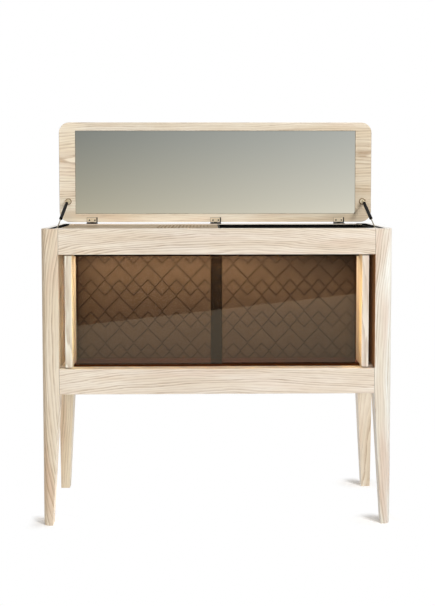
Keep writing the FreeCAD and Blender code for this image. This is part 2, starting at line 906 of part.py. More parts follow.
lid = make_lid()
mirror = make_mirror()
parts += [lid, mirror]
for name, x in hinge_places.items():
    parts.append(make_leaf(f"hinge_lid_leaf_{name}", x, True))
    parts.append(make_leaf(f"hinge_rail_leaf_{name}", x, False))
    pin = turned_primitive(
        "Part::Cylinder",
        f"hinge_pin_{name}",
        FreeCAD.Rotation(FreeCAD.Vector(0, 1, 0), 90),
        (x - s.hinge_width / 2, pin_y, pin_z),
    )
    pin.Label = f"hinge_pin_{name}"
    pin.setExpression("Radius", s.hinge_pin_radius.text)
    pin.setExpression("Height", s.hinge_width.text)
    parts.append(pin)
into_lid = FreeCAD.Rotation(FreeCAD.Vector(1, 0, 0), -90)
into_rail = FreeCAD.Rotation(FreeCAD.Vector(1, 0, 0), 180)
row_z = pin_z + s.screw_row
row_y = pin_y - s.screw_row
lid_heads = [((x, lid_face_y - s.leaf_thickness, row_z), (x, lid_face_y, row_z)) for x in screw_places()]
rail_top = s.rim_height + s.leaf_thickness
rail_heads = [((x, row_y, rail_top), (x, row_y, s.rim_height)) for x in screw_places()]
parts.append(make_screws("lid_hinge_screws", into_lid, lid_heads))
parts.append(make_screws("rail_hinge_screws", into_rail, rail_heads))


# The gas struts

strut_low_y = front + s.strut_low_setback
strut_low_z = s.rim_height - s.strut_low_drop
strut_high_y = lid_face_y - s.strut_lid_offset
strut_high_z = pin_z + s.strut_lid_reach
strut_run = strut_high_y - strut_low_y
strut_rise = strut_high_z - strut_low_z
strut_reach = root_of_squares(strut_run, strut_rise)
strut_slope = slope_angle(strut_rise, strut_run)


def new_strut_body(label, side):
    """A body at the lower pivot whose +Y runs along the strut to its upper pivot."""
    body = new_body(label, strut_plane * side, strut_low_y, strut_low_z)
    tilt = FreeCAD.Rotation(FreeCAD.Vector(1, 0, 0), strut_slope.value)
    body.Placement = FreeCAD.Placement(body.Placement.Base, tilt)
    body.setExpression("Placement.Rotation.Angle", strut_slope.text)
    return body


def turn_about_strut(body, points):
    """Turns an outline of radius and distance along the strut about the strut's own line."""
    sketch = outline(new_sketch(body, "XY"), points)
    feature = body.newObject("PartDesign::Revolution", "Revolution")
    feature.Profile = sketch
    feature.ReferenceAxis = (sketch, ["V_Axis"])
    document.recompute()


def add_eye(body, distance):
    """A flat eye across the strut, bored for its stud."""
    pad(body, circle(new_sketch(body, "YZ"), (distance, 0), s.eye_radius), s.eye_thickness, both_ways=True)
    bore = circle(new_sketch(body, "YZ"), (distance, 0), s.stud_radius + s.running_play)
    pocket(body, bore, s.eye_thickness * 2, both_ways=True)


def make_tube(label, side):
    body = new_strut_body(label, side)
    top = strut_reach - s.fitting_length
    low = top - s.tube_length
    hole = s.rod_radius + s.running_play
    neck = s.tube_neck_radius
    turn_about_strut(
        body,
        [
            (hole, low),
            (s.tube_radius, low),
            (s.tube_radius, top),
            (neck, top),
            (neck, strut_reach - neck),
            (0, strut_reach - neck),
            (0, top - s.tube_end_wall),
            (s.tube_bore_radius, top - s.tube_end_wall),
            (s.tube_bore_radius, low + s.tube_end_wall),
            (hole, low + s.tube_end_wall),
        ],
    )
    add_eye(body, strut_reach)
    return body


def make_rod(label, side):
    body = new_strut_body(label, side)
    piston = s.rod_length - s.piston_length
    turn_about_strut(
        body,
        [
            (0, s.stud_radius + s.running_play),
            (s.rod_radius, s.stud_radius + s.running_play),
            (s.rod_radius, piston),
            (s.piston_radius, piston),
            (s.piston_radius, s.rod_length),
            (0, s.rod_length),
        ],
    )
    add_eye(body, 0)
    return body


def make_side_bracket(label, side):
    """A plate on the side rail with the stud that the rod's eye turns on."""
    body = new_body(label, side_inner * side, strut_low_y, strut_low_z)
    half = s.bracket_width / 2
    plate = rectangle(new_sketch(body, "YZ"), -half, half - s.bracket_height, half, half)
    pad(body, plate, s.bracket_thickness, backwards=side > 0)
    reach = side_inner - strut_plane + s.eye_thickness / 2 + s.clearance
    pad(body, circle(new_sketch(body, "YZ"), (0, 0), s.stud_radius), reach, backwards=side > 0)
    return body


def make_lid_bracket(label, side):
    """A round foot on the lid and an ear outside the strut, whose stud ends just short of the upper eye."""
    ear_x = strut_plane + s.tube_radius + s.clearance
    body = new_body(label, ear_x * side, lid_face_y, strut_high_z)
    foot = circle(new_sketch(body, "XZ"), (-s.bracket_width / 2 * side, 0), s.bracket_height / 2)
    pad(body, foot, s.bracket_thickness)
    reach = s.strut_lid_offset
    ear = rectangle(new_sketch(body, "YZ"), -reach, -s.eye_radius, 0, s.eye_radius)
    pad(body, ear, s.bracket_thickness, backwards=side < 0)
    end = circle(new_sketch(body, "YZ"), (-reach, 0), s.eye_radius)
    pad(body, end, s.bracket_thickness, backwards=side < 0)
    stud = circle(new_sketch(body, "YZ"), (-reach, 0), s.stud_radius)
    pad(body, stud, s.tube_radius - s.eye_thickness / 2, backwards=side > 0)
    return body


for name, side in (("left", -1), ("right", 1)):
    parts.append(make_tube(f"strut_tube_{name}", side))
    parts.append(make_rod(f"strut_rod_{name}", side))
    parts.append(make_side_bracket(f"strut_side_bracket_{name}", side))
    parts.append(make_lid_bracket(f"strut_lid_bracket_{name}", side))

document.recompute()
document.recompute()
for item in document.Objects:
    if "Invalid" in item.State or "Error" in item.State:
        sys.exit(f"{item.Name} ({item.Label}) failed: {item.State}")
for part in parts:
    if part.Shape.isNull() or not part.Shape.isValid():
        sys.exit(f"{part.Label} has no valid shape")
os.makedirs("parts", exist_ok=True)
for part in parts:
    part.Shape.exportStep(f"parts/{part.Label}.step")
print(len(parts), "parts")
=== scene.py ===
# %% [markdown]
# # A bar cabinet in ash, dressed for a studio photograph
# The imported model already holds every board, pane, hinge and strut in its right place. This lesson adds
# what a CAD model lacks: wood that shows its rings, leather pressed with a lattice, bronze glass, brass,
# and the two warm strip lights. Sizes are in millimetres in the script and in metres in Blender.

# %% Load the frame
import math

import bmesh
import bpy
from mathutils import Matrix, Vector


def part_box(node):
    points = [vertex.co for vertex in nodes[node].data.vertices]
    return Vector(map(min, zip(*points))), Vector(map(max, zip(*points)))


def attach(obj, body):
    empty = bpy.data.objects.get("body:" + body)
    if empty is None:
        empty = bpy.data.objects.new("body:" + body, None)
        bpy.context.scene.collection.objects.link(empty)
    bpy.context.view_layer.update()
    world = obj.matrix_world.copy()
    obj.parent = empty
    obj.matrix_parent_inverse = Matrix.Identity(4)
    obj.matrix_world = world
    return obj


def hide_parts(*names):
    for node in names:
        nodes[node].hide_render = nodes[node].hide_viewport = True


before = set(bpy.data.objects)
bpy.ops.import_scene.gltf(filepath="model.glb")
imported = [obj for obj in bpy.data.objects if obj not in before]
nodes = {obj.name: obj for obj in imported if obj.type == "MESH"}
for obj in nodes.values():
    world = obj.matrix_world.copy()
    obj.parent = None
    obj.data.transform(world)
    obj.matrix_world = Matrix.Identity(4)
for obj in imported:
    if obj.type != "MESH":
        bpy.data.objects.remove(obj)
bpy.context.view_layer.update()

MM = 0.001

# %% [markdown]
# ## The camera
# Fitting a camera to the edges of the legs, rails and lid gave its place, its focal length and the row
# of the picture that its axis passes through. The axis lies above the middle, as with a shifted
# architect's lens, so the camera gets a small vertical shift and its upright lines stay upright.


# %% Camera
def add_object(name, data):
    """An object in the scene for a camera's, a lamp's or a mesh's data."""
    made = bpy.data.objects.new(name, data)
    bpy.context.scene.collection.objects.link(made)
    return made


PHOTO_HEIGHT = 606
FOCAL_PIXELS = 848.29
AXIS_ROW = 227.73
SENSOR = 36.0
CAMERA_PLACE = Vector((-43.68, -3082.94, 1172.62)) * MM
YAW, PITCH, ROLL = 0.0155, 0.0501, -0.0006

forward = Vector((math.sin(YAW) * math.cos(PITCH), math.cos(YAW) * math.cos(PITCH), -math.sin(PITCH)))
level = Vector((math.cos(YAW), -math.sin(YAW), 0))
upright = level.cross(forward)
right = level * math.cos(ROLL) + upright * math.sin(ROLL)
up = upright * math.cos(ROLL) - level * math.sin(ROLL)

camera_data = bpy.data.cameras.new("photo_camera")
camera_data.sensor_width = SENSOR
camera_data.lens = FOCAL_PIXELS / PHOTO_HEIGHT * SENSOR
camera_data.shift_y = (AXIS_ROW - PHOTO_HEIGHT / 2) / PHOTO_HEIGHT
camera_data.clip_end = 60.0
camera = add_object("photo_camera", camera_data)
turn = Matrix((right, up, -forward)).transposed()
camera.matrix_world = Matrix.Translation(CAMERA_PLACE) @ turn.to_4x4()
bpy.context.scene.camera = camera
bpy.context.scene.view_settings.view_transform = "Standard"
print("lens", round(camera_data.lens, 2), "mm, shift", round(camera_data.shift_y, 4))

# %% [markdown]
# ## Writing a finish as a formula
# A wood or leather finish is arithmetic on a point of the surface, so it reads best as arithmetic.
# `Value` wraps a socket and gives it Python's operators, each of which adds a Math node. `Tree` adds any
# other node from its type, its settings and its inputs. The same two classes serve shaders, the world
# and Geometry Nodes.


# %% Value
class Value:
    """A socket that Python's operators work on."""

    def __init__(self, tree, socket):
        self.tree = tree
        self.socket = socket

    def math(self, operation, *terms, clamp=False):
        settings = {"operation": operation, "use_clamp": clamp}
        return self.tree.node("ShaderNodeMath", settings, dict(enumerate((self, *terms))))

    def __add__(self, other):
        return self.math("ADD", other)

    def __sub__(self, other):
        return self.math("SUBTRACT", other)

    def __rsub__(self, other):
        return (self * -1) + other

    def __mul__(self, other):
        return self.math("MULTIPLY", other)

    def __truediv__(self, other):
        return self.math("DIVIDE", other)

    def __pow__(self, other):
        return self.math("POWER", other)

    def __mod__(self, other):
        return self.math("FLOORED_MODULO", other)

    def __abs__(self):
        return self.math("ABSOLUTE")

    __radd__ = __add__
    __rmul__ = __mul__

    def least(self, other):
        return self.math("MINIMUM", other)

    def most(self, other):
        return self.math("MAXIMUM", other)

    def clamped(self):
        return self.math("ADD", 0.0, clamp=True)

    def step(self, low, high):
        """0 below low, 1 above high and smooth between, or the other way round where high is lower."""
        inputs = {"Value": self, "From Min": low, "From Max": high}
        return self.tree.node("ShaderNodeMapRange", {"interpolation_type": "SMOOTHSTEP"}, inputs)


print("Value is ready")


# %% Tree
class Tree:
    """A node tree. Its method node adds any node, and the others use that."""

    def __init__(self, nodes_and_links):
        self.tree = nodes_and_links

    def node(self, kind, settings=None, inputs=None, output=0):
        made = self.tree.nodes.new(kind)
        for name, value in (settings or {}).items():
            if name == "stops":
                stops = made.color_ramp.elements
                while len(stops) < len(value):
                    stops.new(0.5)
                for stop, (place, colour) in zip(stops, value):
                    stop.position = place
                    stop.color = colour
            else:
                setattr(made, name, value)
        for name, value in (inputs or {}).items():
            if isinstance(value, Value):
                self.tree.links.new(value.socket, made.inputs[name])
            else:
                made.inputs[name].default_value = value
        return Value(self, made.outputs[output])

    def others(self, value, count):
        """The first outputs of the node that value comes from."""
        return [Value(self, socket) for socket in value.socket.node.outputs[:count]]

    def point(self, x=0.0, y=0.0, z=0.0):
        return self.node("ShaderNodeCombineXYZ", inputs={0: x, 1: y, 2: z})

    def parts(self, point):
        """A point's x, y and z."""
        return self.others(self.node("ShaderNodeSeparateXYZ", inputs={0: point}), 3)

    def show(self, result, kind="ShaderNodeOutputMaterial"):
        """Ends the tree with an output node."""
        end = self.tree.nodes.new(kind)
        self.tree.links.new(result.socket, end.inputs[0])


print("Tree is ready")

# %% [markdown]
# ## What every finish starts from
# A finish reads the object's own coordinates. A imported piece's object sits at the origin with its place
# in its mesh, so these are the cabinet's coordinates at rest, and a pattern stays on its board when the
# board moves. The Principled shader ends each finish.


# %% Finish
def srgb(red, green, blue):
    """A colour as it looks in a picture, 0 to 255, in the linear units that shaders use."""
    linear = []
    for part in (red, green, blue):
        part = part / 255
        linear.append(part / 12.92 if part <= 0.04045 else ((part + 0.055) / 1.055) ** 2.4)
    return (*linear, 1.0)


class Finish(Tree):
    """A material's tree, with the nodes that most finishes use."""

    def __init__(self, name):
        self.material = bpy.data.materials.new(name)
        self.material.use_nodes = True
        super().__init__(self.material.node_tree)
        self.tree.nodes.clear()
        spot = self.node("ShaderNodeTexCoord", output=3)
        self.spot = self.node("ShaderNodeVectorMath", {"operation": "SCALE"}, {0: spot, "Scale": 1 / MM})
        self.xyz = self.parts(self.spot)
        self.grain = self.xyz

    def gaps(self, low, high):
        """On each axis, how far inside the box between two corners a point lies."""
        return [(b - a) / 2 - abs(part - (a + b) / 2) for part, a, b in zip(self.xyz, low, high)]

    def noise(self, point, size=1.0, detail=2.0, rough=0.5):
        """Cloudy noise about 0.5, whose spots are about size across."""
        inputs = {"Vector": point, "Scale": 1 / size, "Detail": detail, "Roughness": rough}
        return self.node("ShaderNodeTexNoise", inputs=inputs)

    def streaks(self, along, times, size, detail=2.0):
        """Noise whose spots are size across, and so many times as long along axis 0, 1 or 2."""
        shares = (1 / times if axis == along else 1.0 for axis in range(3))
        x, y, z = (part * share for part, share in zip(self.grain, shares))
        return self.noise(self.point(x, y, z), size, detail)

    def mix(self, share, first, second, blend="MIX"):
        settings = {"data_type": "RGBA", "blend_type": blend, "clamp_factor": True}
        return self.node("ShaderNodeMix", settings, {0: share, 6: first, 7: second}, output=2)

    def bump(self, height, depth, strength=1.0):
        """Height from 0 to 1 as relief that is depth millimetres deep."""
        inputs = {"Height": height, "Distance": depth * MM, "Strength": strength}
        return self.node("ShaderNodeBump", inputs=inputs)

    def done(self, **sockets):
        inputs = {name.replace("_", " "): value for name, value in sockets.items()}
        self.show(self.node("ShaderNodeBsdfPrincipled", inputs=inputs))
        return self.material


def paint(finish, *names):
    """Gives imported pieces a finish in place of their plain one."""
    for name in names:
        mesh = nodes[name].data
        mesh.materials.clear()
        mesh.materials.append(finish)


print("cream as a shader number:", [round(part, 3) for part in srgb(228, 214, 192)])

# %% [markdown]
# ## Ash
# Ash has wide rings. Each spring it lays down a band of open pores, which takes up more oil and shows as
# a tan line, and the summer wood between the lines is pale. Painting lines on each face would break them
# at the corners, so the finish works in the solid: a ring is a distance from the tree's heart, which runs
# along the board, a little tilted, bent and outside it. Where a face cuts the rings at a flat angle they
# open into long arches, as on the rails, and where it cuts them steeply they run as long lines that follow
# the heart's tilt and bend, as on the legs.

# %% Colours of the ash
ASH_PALE = srgb(243, 233, 216)
ASH_CREAM = srgb(233, 219, 197)
ASH_PINK = srgb(226, 202, 179)
ASH_LINE = srgb(176, 146, 114)
ASH_PORE = srgb(138, 106, 78)
SEAM = srgb(120, 98, 70)
SLOT_BLACK = srgb(10, 9, 8)
CASE_BROWN = srgb(84, 52, 38)
print("lines as dark as", [round(part, 3) for part in ASH_LINE[:3]])

# %% Rings in the solid
# How many millimetres a ring wanders over the whole board, in short waves and in long waves, and how fast
# the first changes along the board and across it.
RING_SWAY, RING_RIPPLE, RING_WOBBLE = 46, 4.2, 14
SWAY_ALONG, SWAY_ACROSS = 0.0011, 0.006
BOW_RUN = 500


def ash_rings(wood, along, middle, heart, tilt, seed, bow, width):
    """The tan line of each ring, from 0 to 1. The tree's heart leans by tilt, and bends by bow millimetres
    at BOW_RUN from the board's middle. Width is how far apart the rings lie."""
    run = wood.xyz[along] - middle[along]
    axes = [axis for axis in range(3) if axis != along]
    stands = along == 2
    bent = axes[0] if stands else axes[-1]
    curve = run * run * (bow / BOW_RUN**2)
    wood.grain = list(wood.xyz)
    for axis, lean in zip(axes, tilt):
        wood.grain[axis] = wood.xyz[axis] - run * lean
    if stands:
        wood.grain[bent] = wood.grain[bent] + curve
    slow = wood.point(run * SWAY_ALONG + seed, *(wood.xyz[axis] * SWAY_ACROSS for axis in axes))
    sway = wood.node("ShaderNodeTexNoise", inputs={"Vector": slow, "Scale": 1.0, "Detail": 1.5}, output=1)
    squares = []
    for axis, offset, lean, wander in zip(axes, heart, tilt, wood.parts(sway)):
        across = wood.xyz[axis] - (middle[axis] + offset) - run * lean
        across = across + (curve if axis == bent else 0.0) + (wander - 0.5) * RING_SWAY
        squares.append(across * across)
    ripple = (wood.streaks(along, 13, 9.0) - 0.5) * RING_RIPPLE
    wobble = (wood.streaks(along, 5, 38.0, detail=1.0) - 0.5) * RING_WOBBLE
    rings = ((squares[0] + squares[1]) ** 0.5 + ripple + wobble) / width
    # A line starts sharply and fades over its ring, some years are fainter, and no line is unbroken.
    part = rings.math("FRACT")
    line = part.step(0.0, 0.14) * (1 - part) ** 1.5
    number = rings.math("FLOOR") + seed
    year = wood.node("ShaderNodeTexWhiteNoise", {"noise_dimensions": "1D"}, {"W": number})
    broken = wood.streaks(along, 12, 4.2).step(0.3, 0.62)
    return line * (year * 0.7 + 0.3) * (broken * 0.45 + 0.6)


print("rings bend over", BOW_RUN, "mm")


# %% The finish of one board
def make_ash(
    name, along, low, high, heart, tilt, seed, tone=None, bow=0.0, cover=None, width=6.5, oil=0.95,
    seam=0.85, blush=0.55,
):
    """Oiled ash with its grain along axis 0, 1 or 2. Low and high are the board's visible corners. Tone
    multiplies the colour: three numbers, or a function that makes a colour in the tree, and on some boards
    it is painted light and shade. Cover is a function for the share of each point that something dull
    covers, black paint and on one leg painted shade, and its colour. Oil is how much of the board is
    glossy, seam how dark its two ends are, and blush how pink its pink patches are."""
    wood = Finish(name)
    middle = [(a + b) / 2 for a, b in zip(low, high)]
    line = ash_rings(wood, along, middle, heart, tilt, seed, bow, width)
    pores = (wood.streaks(along, 70, 0.9).step(0.56, 0.68) * line).clamped()
    fibre = wood.streaks(along, 30, 2.6)
    patch = wood.streaks(along, 9, 34.0, detail=3.0)
    pink = wood.streaks(along, 7, 47.0, detail=1.0)
    colour = wood.mix(patch.step(0.35, 0.68), ASH_CREAM, ASH_PALE)
    colour = wood.mix(pink.step(0.5, 0.75) * blush, colour, ASH_PINK)
    colour = wood.mix(line * 0.92 + (fibre - 0.5) * 0.4, colour, ASH_LINE)
    colour = wood.mix(pores * 0.75, colour, ASH_PORE)
    # The second smallest distance to the board's faces is small along its edges, which hands have polished.
    gaps = wood.gaps(low, high)
    edge = gaps[0].least(gaps[1]).most(gaps[0].most(gaps[1]).least(gaps[2]))
    handled = edge.step(3.4, 0.8) * wood.noise(wood.spot, 23.0).step(0.3, 0.75)
    colour = wood.mix(handled * 0.35, colour, ASH_PALE)
    colour = wood.mix(gaps[along].step(1.8, 0.7) * seam, colour, SEAM)
    if tone is not None:
        shade = tone(wood) if callable(tone) else (*tone, 1.0)
        colour = wood.mix(1.0, colour, shade, blend="MULTIPLY")
    sheen = 0.55 + pores * 0.2 + line * 0.08 - handled * 0.12 + (fibre - 0.5) * 0.1
    oil = oil - pores * oil * 0.4
    if cover is not None:
        hidden = cover[0](wood)
        colour = wood.mix(hidden, colour, cover[1])
        sheen = sheen + hidden * 0.4
        oil = oil * (1 - hidden)
    relief = 1 - pores * 0.8 - line * 0.25 + (fibre - 0.5) * 0.3
    return wood.done(
        Base_Color=colour,
        Roughness=sheen,
        Specular_IOR_Level=0.25,
        Coat_Weight=oil,
        Coat_Roughness=0.12,
        Normal=wood.bump(relief, 0.22, 0.6),
    )


print("each board is cut from its own place in the tree")

# %% [markdown]
# ## Paint and shade on the boards
# Some boards aren't bare wood all over. The two slots that the struts fold into are painted black, and so
# is a strip on the legs' tops in line with them. The case's sides are brown inside, behind the panes.
# Other boards carry painted light and shade: paler where light falls on them, darker where shade falls,
# and the lid grows browner towards its right end. Each such change is a function of the place on the
# board, so that it stays put when the board moves. Most are soft steps between two lines.

# %% Sizes shared with the frame
FRONT, BACK, RIM = -204.075, 195.925, 1025.0
LEG_INSIDE, LEG_DEPTH, LOW_RAIL_TOP = 541.0, 59.0, 545.0
SLOT_INSIDE, SLOT_WALL, SLOT_FLOOR = 556.0, 578.0, 940.0
SLOT_FRONT, SLOT_BACK = -186.0, 186.0
CASE_HALF, BROWN_FRONT = 496.0, -96.0


def corners(name):
    """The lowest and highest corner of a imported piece, in millimetres."""
    low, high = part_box(name)
    return list(low / MM), list(high / MM)


print("rails reach", LEG_INSIDE, "mm to each side")


# %% What covers the wood
def slot_face(wood):
    """A slot's outer wall."""
    return abs(wood.xyz[0]).step(SLOT_WALL + 0.5, SLOT_WALL + 0.2)


def slot_strip(wood):
    """The strip on a leg's top in line with a slot, the leg's face that ends the slot, and the inner
    corner of the back right leg's top, beside the dark well."""
    x, y, z = wood.xyz
    in_line = abs(x).step(SLOT_INSIDE, SLOT_INSIDE + 0.4)
    corner = x.step(LEG_INSIDE - 1, LEG_INSIDE) * y.step(130, 136) * z.step(RIM - 2, RIM - 1)
    across = in_line.most(corner) * abs(x).step(SLOT_WALL, SLOT_WALL - 0.4)
    ends = y.step(SLOT_FRONT, SLOT_FRONT + 2) * y.step(SLOT_BACK, SLOT_BACK - 2)
    return across * ends * z.step(SLOT_FLOOR, SLOT_FLOOR + 1)


def case_face(wood):
    """The inside of the case, behind the panes."""
    x, y, z = wood.xyz
    return abs(x).step(CASE_HALF + 0.5, CASE_HALF + 0.2) * y.step(BROWN_FRONT, BROWN_FRONT + 1)


def gap_face(wood):
    """The face that the right front leg turns to the case, which gets painted shade."""
    x, y, z = wood.xyz
    return x.step(LEG_INSIDE + 0.5, LEG_INSIDE + 0.2) * z.step(LOW_RAIL_TOP, LOW_RAIL_TOP + 1)


def slot_strip_and_gap_shade(wood):
    """As slot_strip, with painted shade, dull and darker, on the leg's face in the gap beside the case."""
    return slot_strip(wood).most(gap_face(wood) * 0.3)


print("slots from", SLOT_INSIDE, "to", SLOT_WALL, "mm off the middle")


# %% Painted light and shade on single boards
def left_leg_painted_shade(wood):
    """The left front leg is browner at its left edge: painted shade on the corner turned from the light."""
    plain, brown = (1.08, 1.07, 1.04, 1.0), (1.03, 0.95, 0.84, 1.0)
    return wood.mix(wood.xyz[0].step(-576, -598), plain, brown)


def right_leg_painted_light_and_shade(wood):
    """The right front leg is paler in front and palest round its outer corner, which is painted light,
    and brown beside the case, which is painted shade.
    """
    plain, pale = (1.03, 1.03, 1.03, 1.0), (1.03, 1.08, 1.14, 1.0)
    palest, brown = (1.06, 1.17, 1.31, 1.0), (1.0, 0.6, 0.33, 1.0)
    x, y, z = wood.xyz
    in_front = y.step(-146, -186)
    shade = wood.mix(in_front, plain, pale)
    shade = wood.mix(x.step(562, 590) * in_front, shade, palest)
    return wood.mix(gap_face(wood), shade, brown)


def lining_painted_light_and_shade(wood):
    """The left lining is paler at its front, as painted light, and darker the farther back it goes,
    as painted shade.
    """
    pale, dark = (1.22, 1.19, 1.12, 1.0), (0.4, 0.3, 0.25, 1.0)
    return wood.mix(wood.xyz[1].step(-125, -70), pale, dark)


def rail_painted_light(wood):
    """The long rails are palest at their left ends: painted light, since the lamps from the right
    leave those ends dim.
    """
    plain, pale = (1.03, 1.03, 1.06, 1.0), (1.1, 1.09, 1.09, 1.0)
    return wood.mix(wood.xyz[0].step(-100, -500), plain, pale)


def lid_tone_and_painted_light(wood):
    """The lid is palest at its left end and near its hinges, which is painted light, and browner at its
    right end.
    """
    plain, pale, brown = (1.05, 1.05, 1.03, 1.0), (1.22, 1.22, 1.18, 1.0), (0.9, 0.86, 0.78, 1.0)
    x, y, z = wood.xyz
    shade = wood.mix(x.step(-470, -560).most(z.step(1080, 1062)), plain, pale)
    return wood.mix(x.step(40, 540) * z.step(1420, 1370), shade, brown)


print("shades for the front legs, the left lining, the rails and the lid")

# %% [markdown]
# ## Which board comes from where
# A cabinet maker picks boards so that neighbours don't match. The legs stand, so their grain is upright.
# The rails and the lid lie, so theirs runs along them. Each board gets its own heart, tilt and seed, and
# the tables below hold them, so that a board is changed in one line.

# %% Legs
# Heart, tilt, seed, tone, bow, distance between rings, and oil.
leg_woods = {
    "leg_front_left": ((-130, 44), (-0.017, 0.012), 3.1, left_leg_painted_shade, -57, 9.0, 0.2),
    "leg_front_right": ((120, 58), (0.001, 0.01), 7.7, right_leg_painted_light_and_shade, -41, 8.5, 0.3),
    # The back legs' tones are painted light, the warm light that bounces under the case.
    "leg_back_left": ((70, 40), (0.03, 0.01), 12.4, (1.05, 1.0, 0.9), 0, 8.5, 0.5),
    "leg_back_right": ((64, 46), (0.05, 0.01), 17.9, (1.06, 1.04, 1.01), 0, 8.5, 0.5),
}
for name, (heart, tilt, seed, tone, bow, width, oil) in leg_woods.items():
    where = slot_strip_and_gap_shade if name == "leg_front_right" else slot_strip
    wood = make_ash(
        f"ash_{name}", 2, *corners(name), heart, tilt, seed, tone, bow, (where, SLOT_BLACK), width, oil,
        seam=0.0, blush=1.0,
    )
    paint(wood, name)
print(len(leg_woods), "legs")

# %% Rails
# Heart, tilt, seed and bow.
long_rails = {
    "front_top_rail": ((24, -64), (0.0, 0.012), 23.2, 34),
    "front_bottom_rail": ((22, -58), (0.0, 0.02), 29.9, 26),
    "back_top_rail": ((-70, 26), (0.0, 0.03), 31.4, 8),
    "back_bottom_rail": ((-62, -18), (0.0, -0.035), 37.7, 12),
}
for name, (heart, tilt, seed, bow) in long_rails.items():
    low, high = corners(name)
    low[0], high[0] = -LEG_INSIDE, LEG_INSIDE
    paint(make_ash(f"ash_{name}", 0, low, high, heart, tilt, seed, rail_painted_light, bow), name)
short_rails = sorted(name for name in nodes if name.startswith("side_") and "rail" in name)
for number, name in enumerate(short_rails):
    low, high = corners(name)
    low[1], high[1] = FRONT + LEG_DEPTH, BACK - LEG_DEPTH
    heart = (70 if "left" in name else -70), 18 - number * 9
    cover = (slot_face, SLOT_BLACK) if "top" in name else None
    paint(make_ash(f"ash_{name}", 1, low, high, heart, (0, 0.03), 41 + number * 5.3, cover=cover), name)
print(len(long_rails), "long rails and", len(short_rails), "short ones")

# %% Panels, boards and the lid
# The axis of the grain, heart, tilt and seed. The toned boards have a tone too.
boards = {
    "side_panel_left": (2, (90, 40), (0.01, 0.04), 67.3),
    "side_panel_right": (2, (-90, -30), (0.01, -0.04), 71.9),
    "rear_panel": (0, (-120, 20), (0.0, 0.05), 76.1),
    "bottom_board": (0, (20, 90), (0.02, 0.0), 91.1),
    "well_floor": (0, (-20, 90), (0.02, 0.0), 94.7),
    "well_divider": (1, (80, 0), (0.0, 0.02), 97.3),
    "lid_panel": (0, (90, 60), (0.0, 0.02), 61.7, lid_tone_and_painted_light),
}
toned = {
    "tray_board": (0, (30, 70), (0.03, 0.0), 104.9, (0.56, 0.49, 0.39)),
    "side_lining_left": (2, (70, 30), (0.01, 0.02), 69.4, lining_painted_light_and_shade),
    # The right lining's dark tone is painted shade.
    "side_lining_right": (2, (-80, -20), (0.01, -0.02), 73.8, (0.62, 0.42, 0.28)),
}
case_sides = {
    # The left side's paler tone is painted light.
    "case_side_left": (2, (-30, -48), (0.008, 0.0), 81.3, (1.13, 1.2, 1.23)),
    "case_side_right": (2, (34, -52), (0.008, 0.0), 85.7, (1.0, 1.02, 1.07)),
}
# The case's sides are brown inside, behind the panes.
case_brown_cover = case_face, CASE_BROWN
for group, more in ((boards, {}), (toned, {"oil": 0.1}), (case_sides, {"cover": case_brown_cover})):
    for name, (along, *rest) in group.items():
        paint(make_ash(f"ash_{name}", along, *corners(name), *rest, **more), name)
print(len(boards) + len(toned) + len(case_sides), "boards")

# %% [markdown]
# ## Bronze glass and the mirror
# The panes are tinted through, so they darken what lies behind them, and where they lap the case is twice
# as dark. Real refraction in two thin panes costs much light and shows little, so each face of a pane is
# partly see-through instead: two faces leave about a fifth of the light. What is left to see is gloss,
# which the studio's pale floor and its dark side give. The mirror is silvered glass.

# %% Glass
glass = Finish("bronze_glass")
film = glass.noise(glass.spot, 60.0, detail=4.0)
PANE_OPACITY = 0.55
bronze_glass = glass.done(
    Base_Color=glass.mix(film.step(0.3, 0.7), srgb(20, 15, 11), srgb(27, 20, 15)),
    Roughness=0.012 + film.step(0.45, 0.8) * 0.02,
    Alpha=PANE_OPACITY + (film - 0.5) * 0.02,
    IOR=1.66,
    Specular_Tint=(1.0, 0.9, 0.66, 1.0),
)
paint(bronze_glass, "left_glass_pane", "right_glass_pane")
print("two faces let through", round((1 - PANE_OPACITY) ** 2, 2))


# %% Mirror
def edge_of(finish, low, high):
    """Distance in millimetres from the outline of a thin plate between two corners."""
    gaps = finish.gaps(low, high)
    gaps.pop(min(range(3), key=lambda axis: high[axis] - low[axis]))
    return gaps[0].least(gaps[1])


silver = Finish("silvered_mirror")
haze = silver.noise(silver.spot, 90.0, detail=5.0, rough=0.6)
low, high = corners("lid_mirror")
worn = edge_of(silver, low, high).step(1.6, 0.2) * 0.7
silvered = silver.done(
    Base_Color=silver.mix(worn, srgb(243, 246, 242), srgb(120, 124, 110)),
    Metallic=1.0,
    Roughness=0.008 + haze.step(0.5, 0.85) * 0.02,
)
paint(silvered, "lid_mirror")
print("mirror", round(high[0] - low[0]), "by", round(high[2] - low[2]), "mm")

# %% [markdown]
# ## Metals
# The hinges are pale brass, darker at the barrel and at one end as painted shade. The tracks are brown
# anodised aluminium, the struts black lacquer on steel with a bare eye and a chromed rod, and the
# brackets pale nickel with a darker rim. A brushed metal is noise drawn far out along one axis, which
# tilts the surface a little and changes its gloss.


# %% A brushed metal
def make_metal(
    name, colour, dark, gloss, along=0, brush=0.03, metallic=1.0, spots=14.0, shine=0.5, patch=None
):
    """Colour and dark are its two shades, gloss its roughness and brush the depth of its lines. Patch gives
    the share of each point that has another colour, and that colour."""
    metal = Finish(name)
    lines = metal.streaks(along, 90, 0.35, detail=3.0)
    stain = metal.noise(metal.spot, spots, detail=4.0, rough=0.6)
    tint = metal.mix(stain.step(0.45, 0.8) * 0.6 + (lines - 0.5) * 0.2, colour, dark)
    if patch is not None:
        tint = metal.mix(patch[0](metal), tint, patch[1])
    return metal.done(
        Base_Color=tint,
        Metallic=metallic,
        Roughness=gloss + (lines - 0.5) * 0.16 + stain.step(0.5, 0.8) * 0.12,
        Normal=metal.bump(lines, brush, 0.5),
        Specular_IOR_Level=shine,
    )


print("one recipe for every metal")

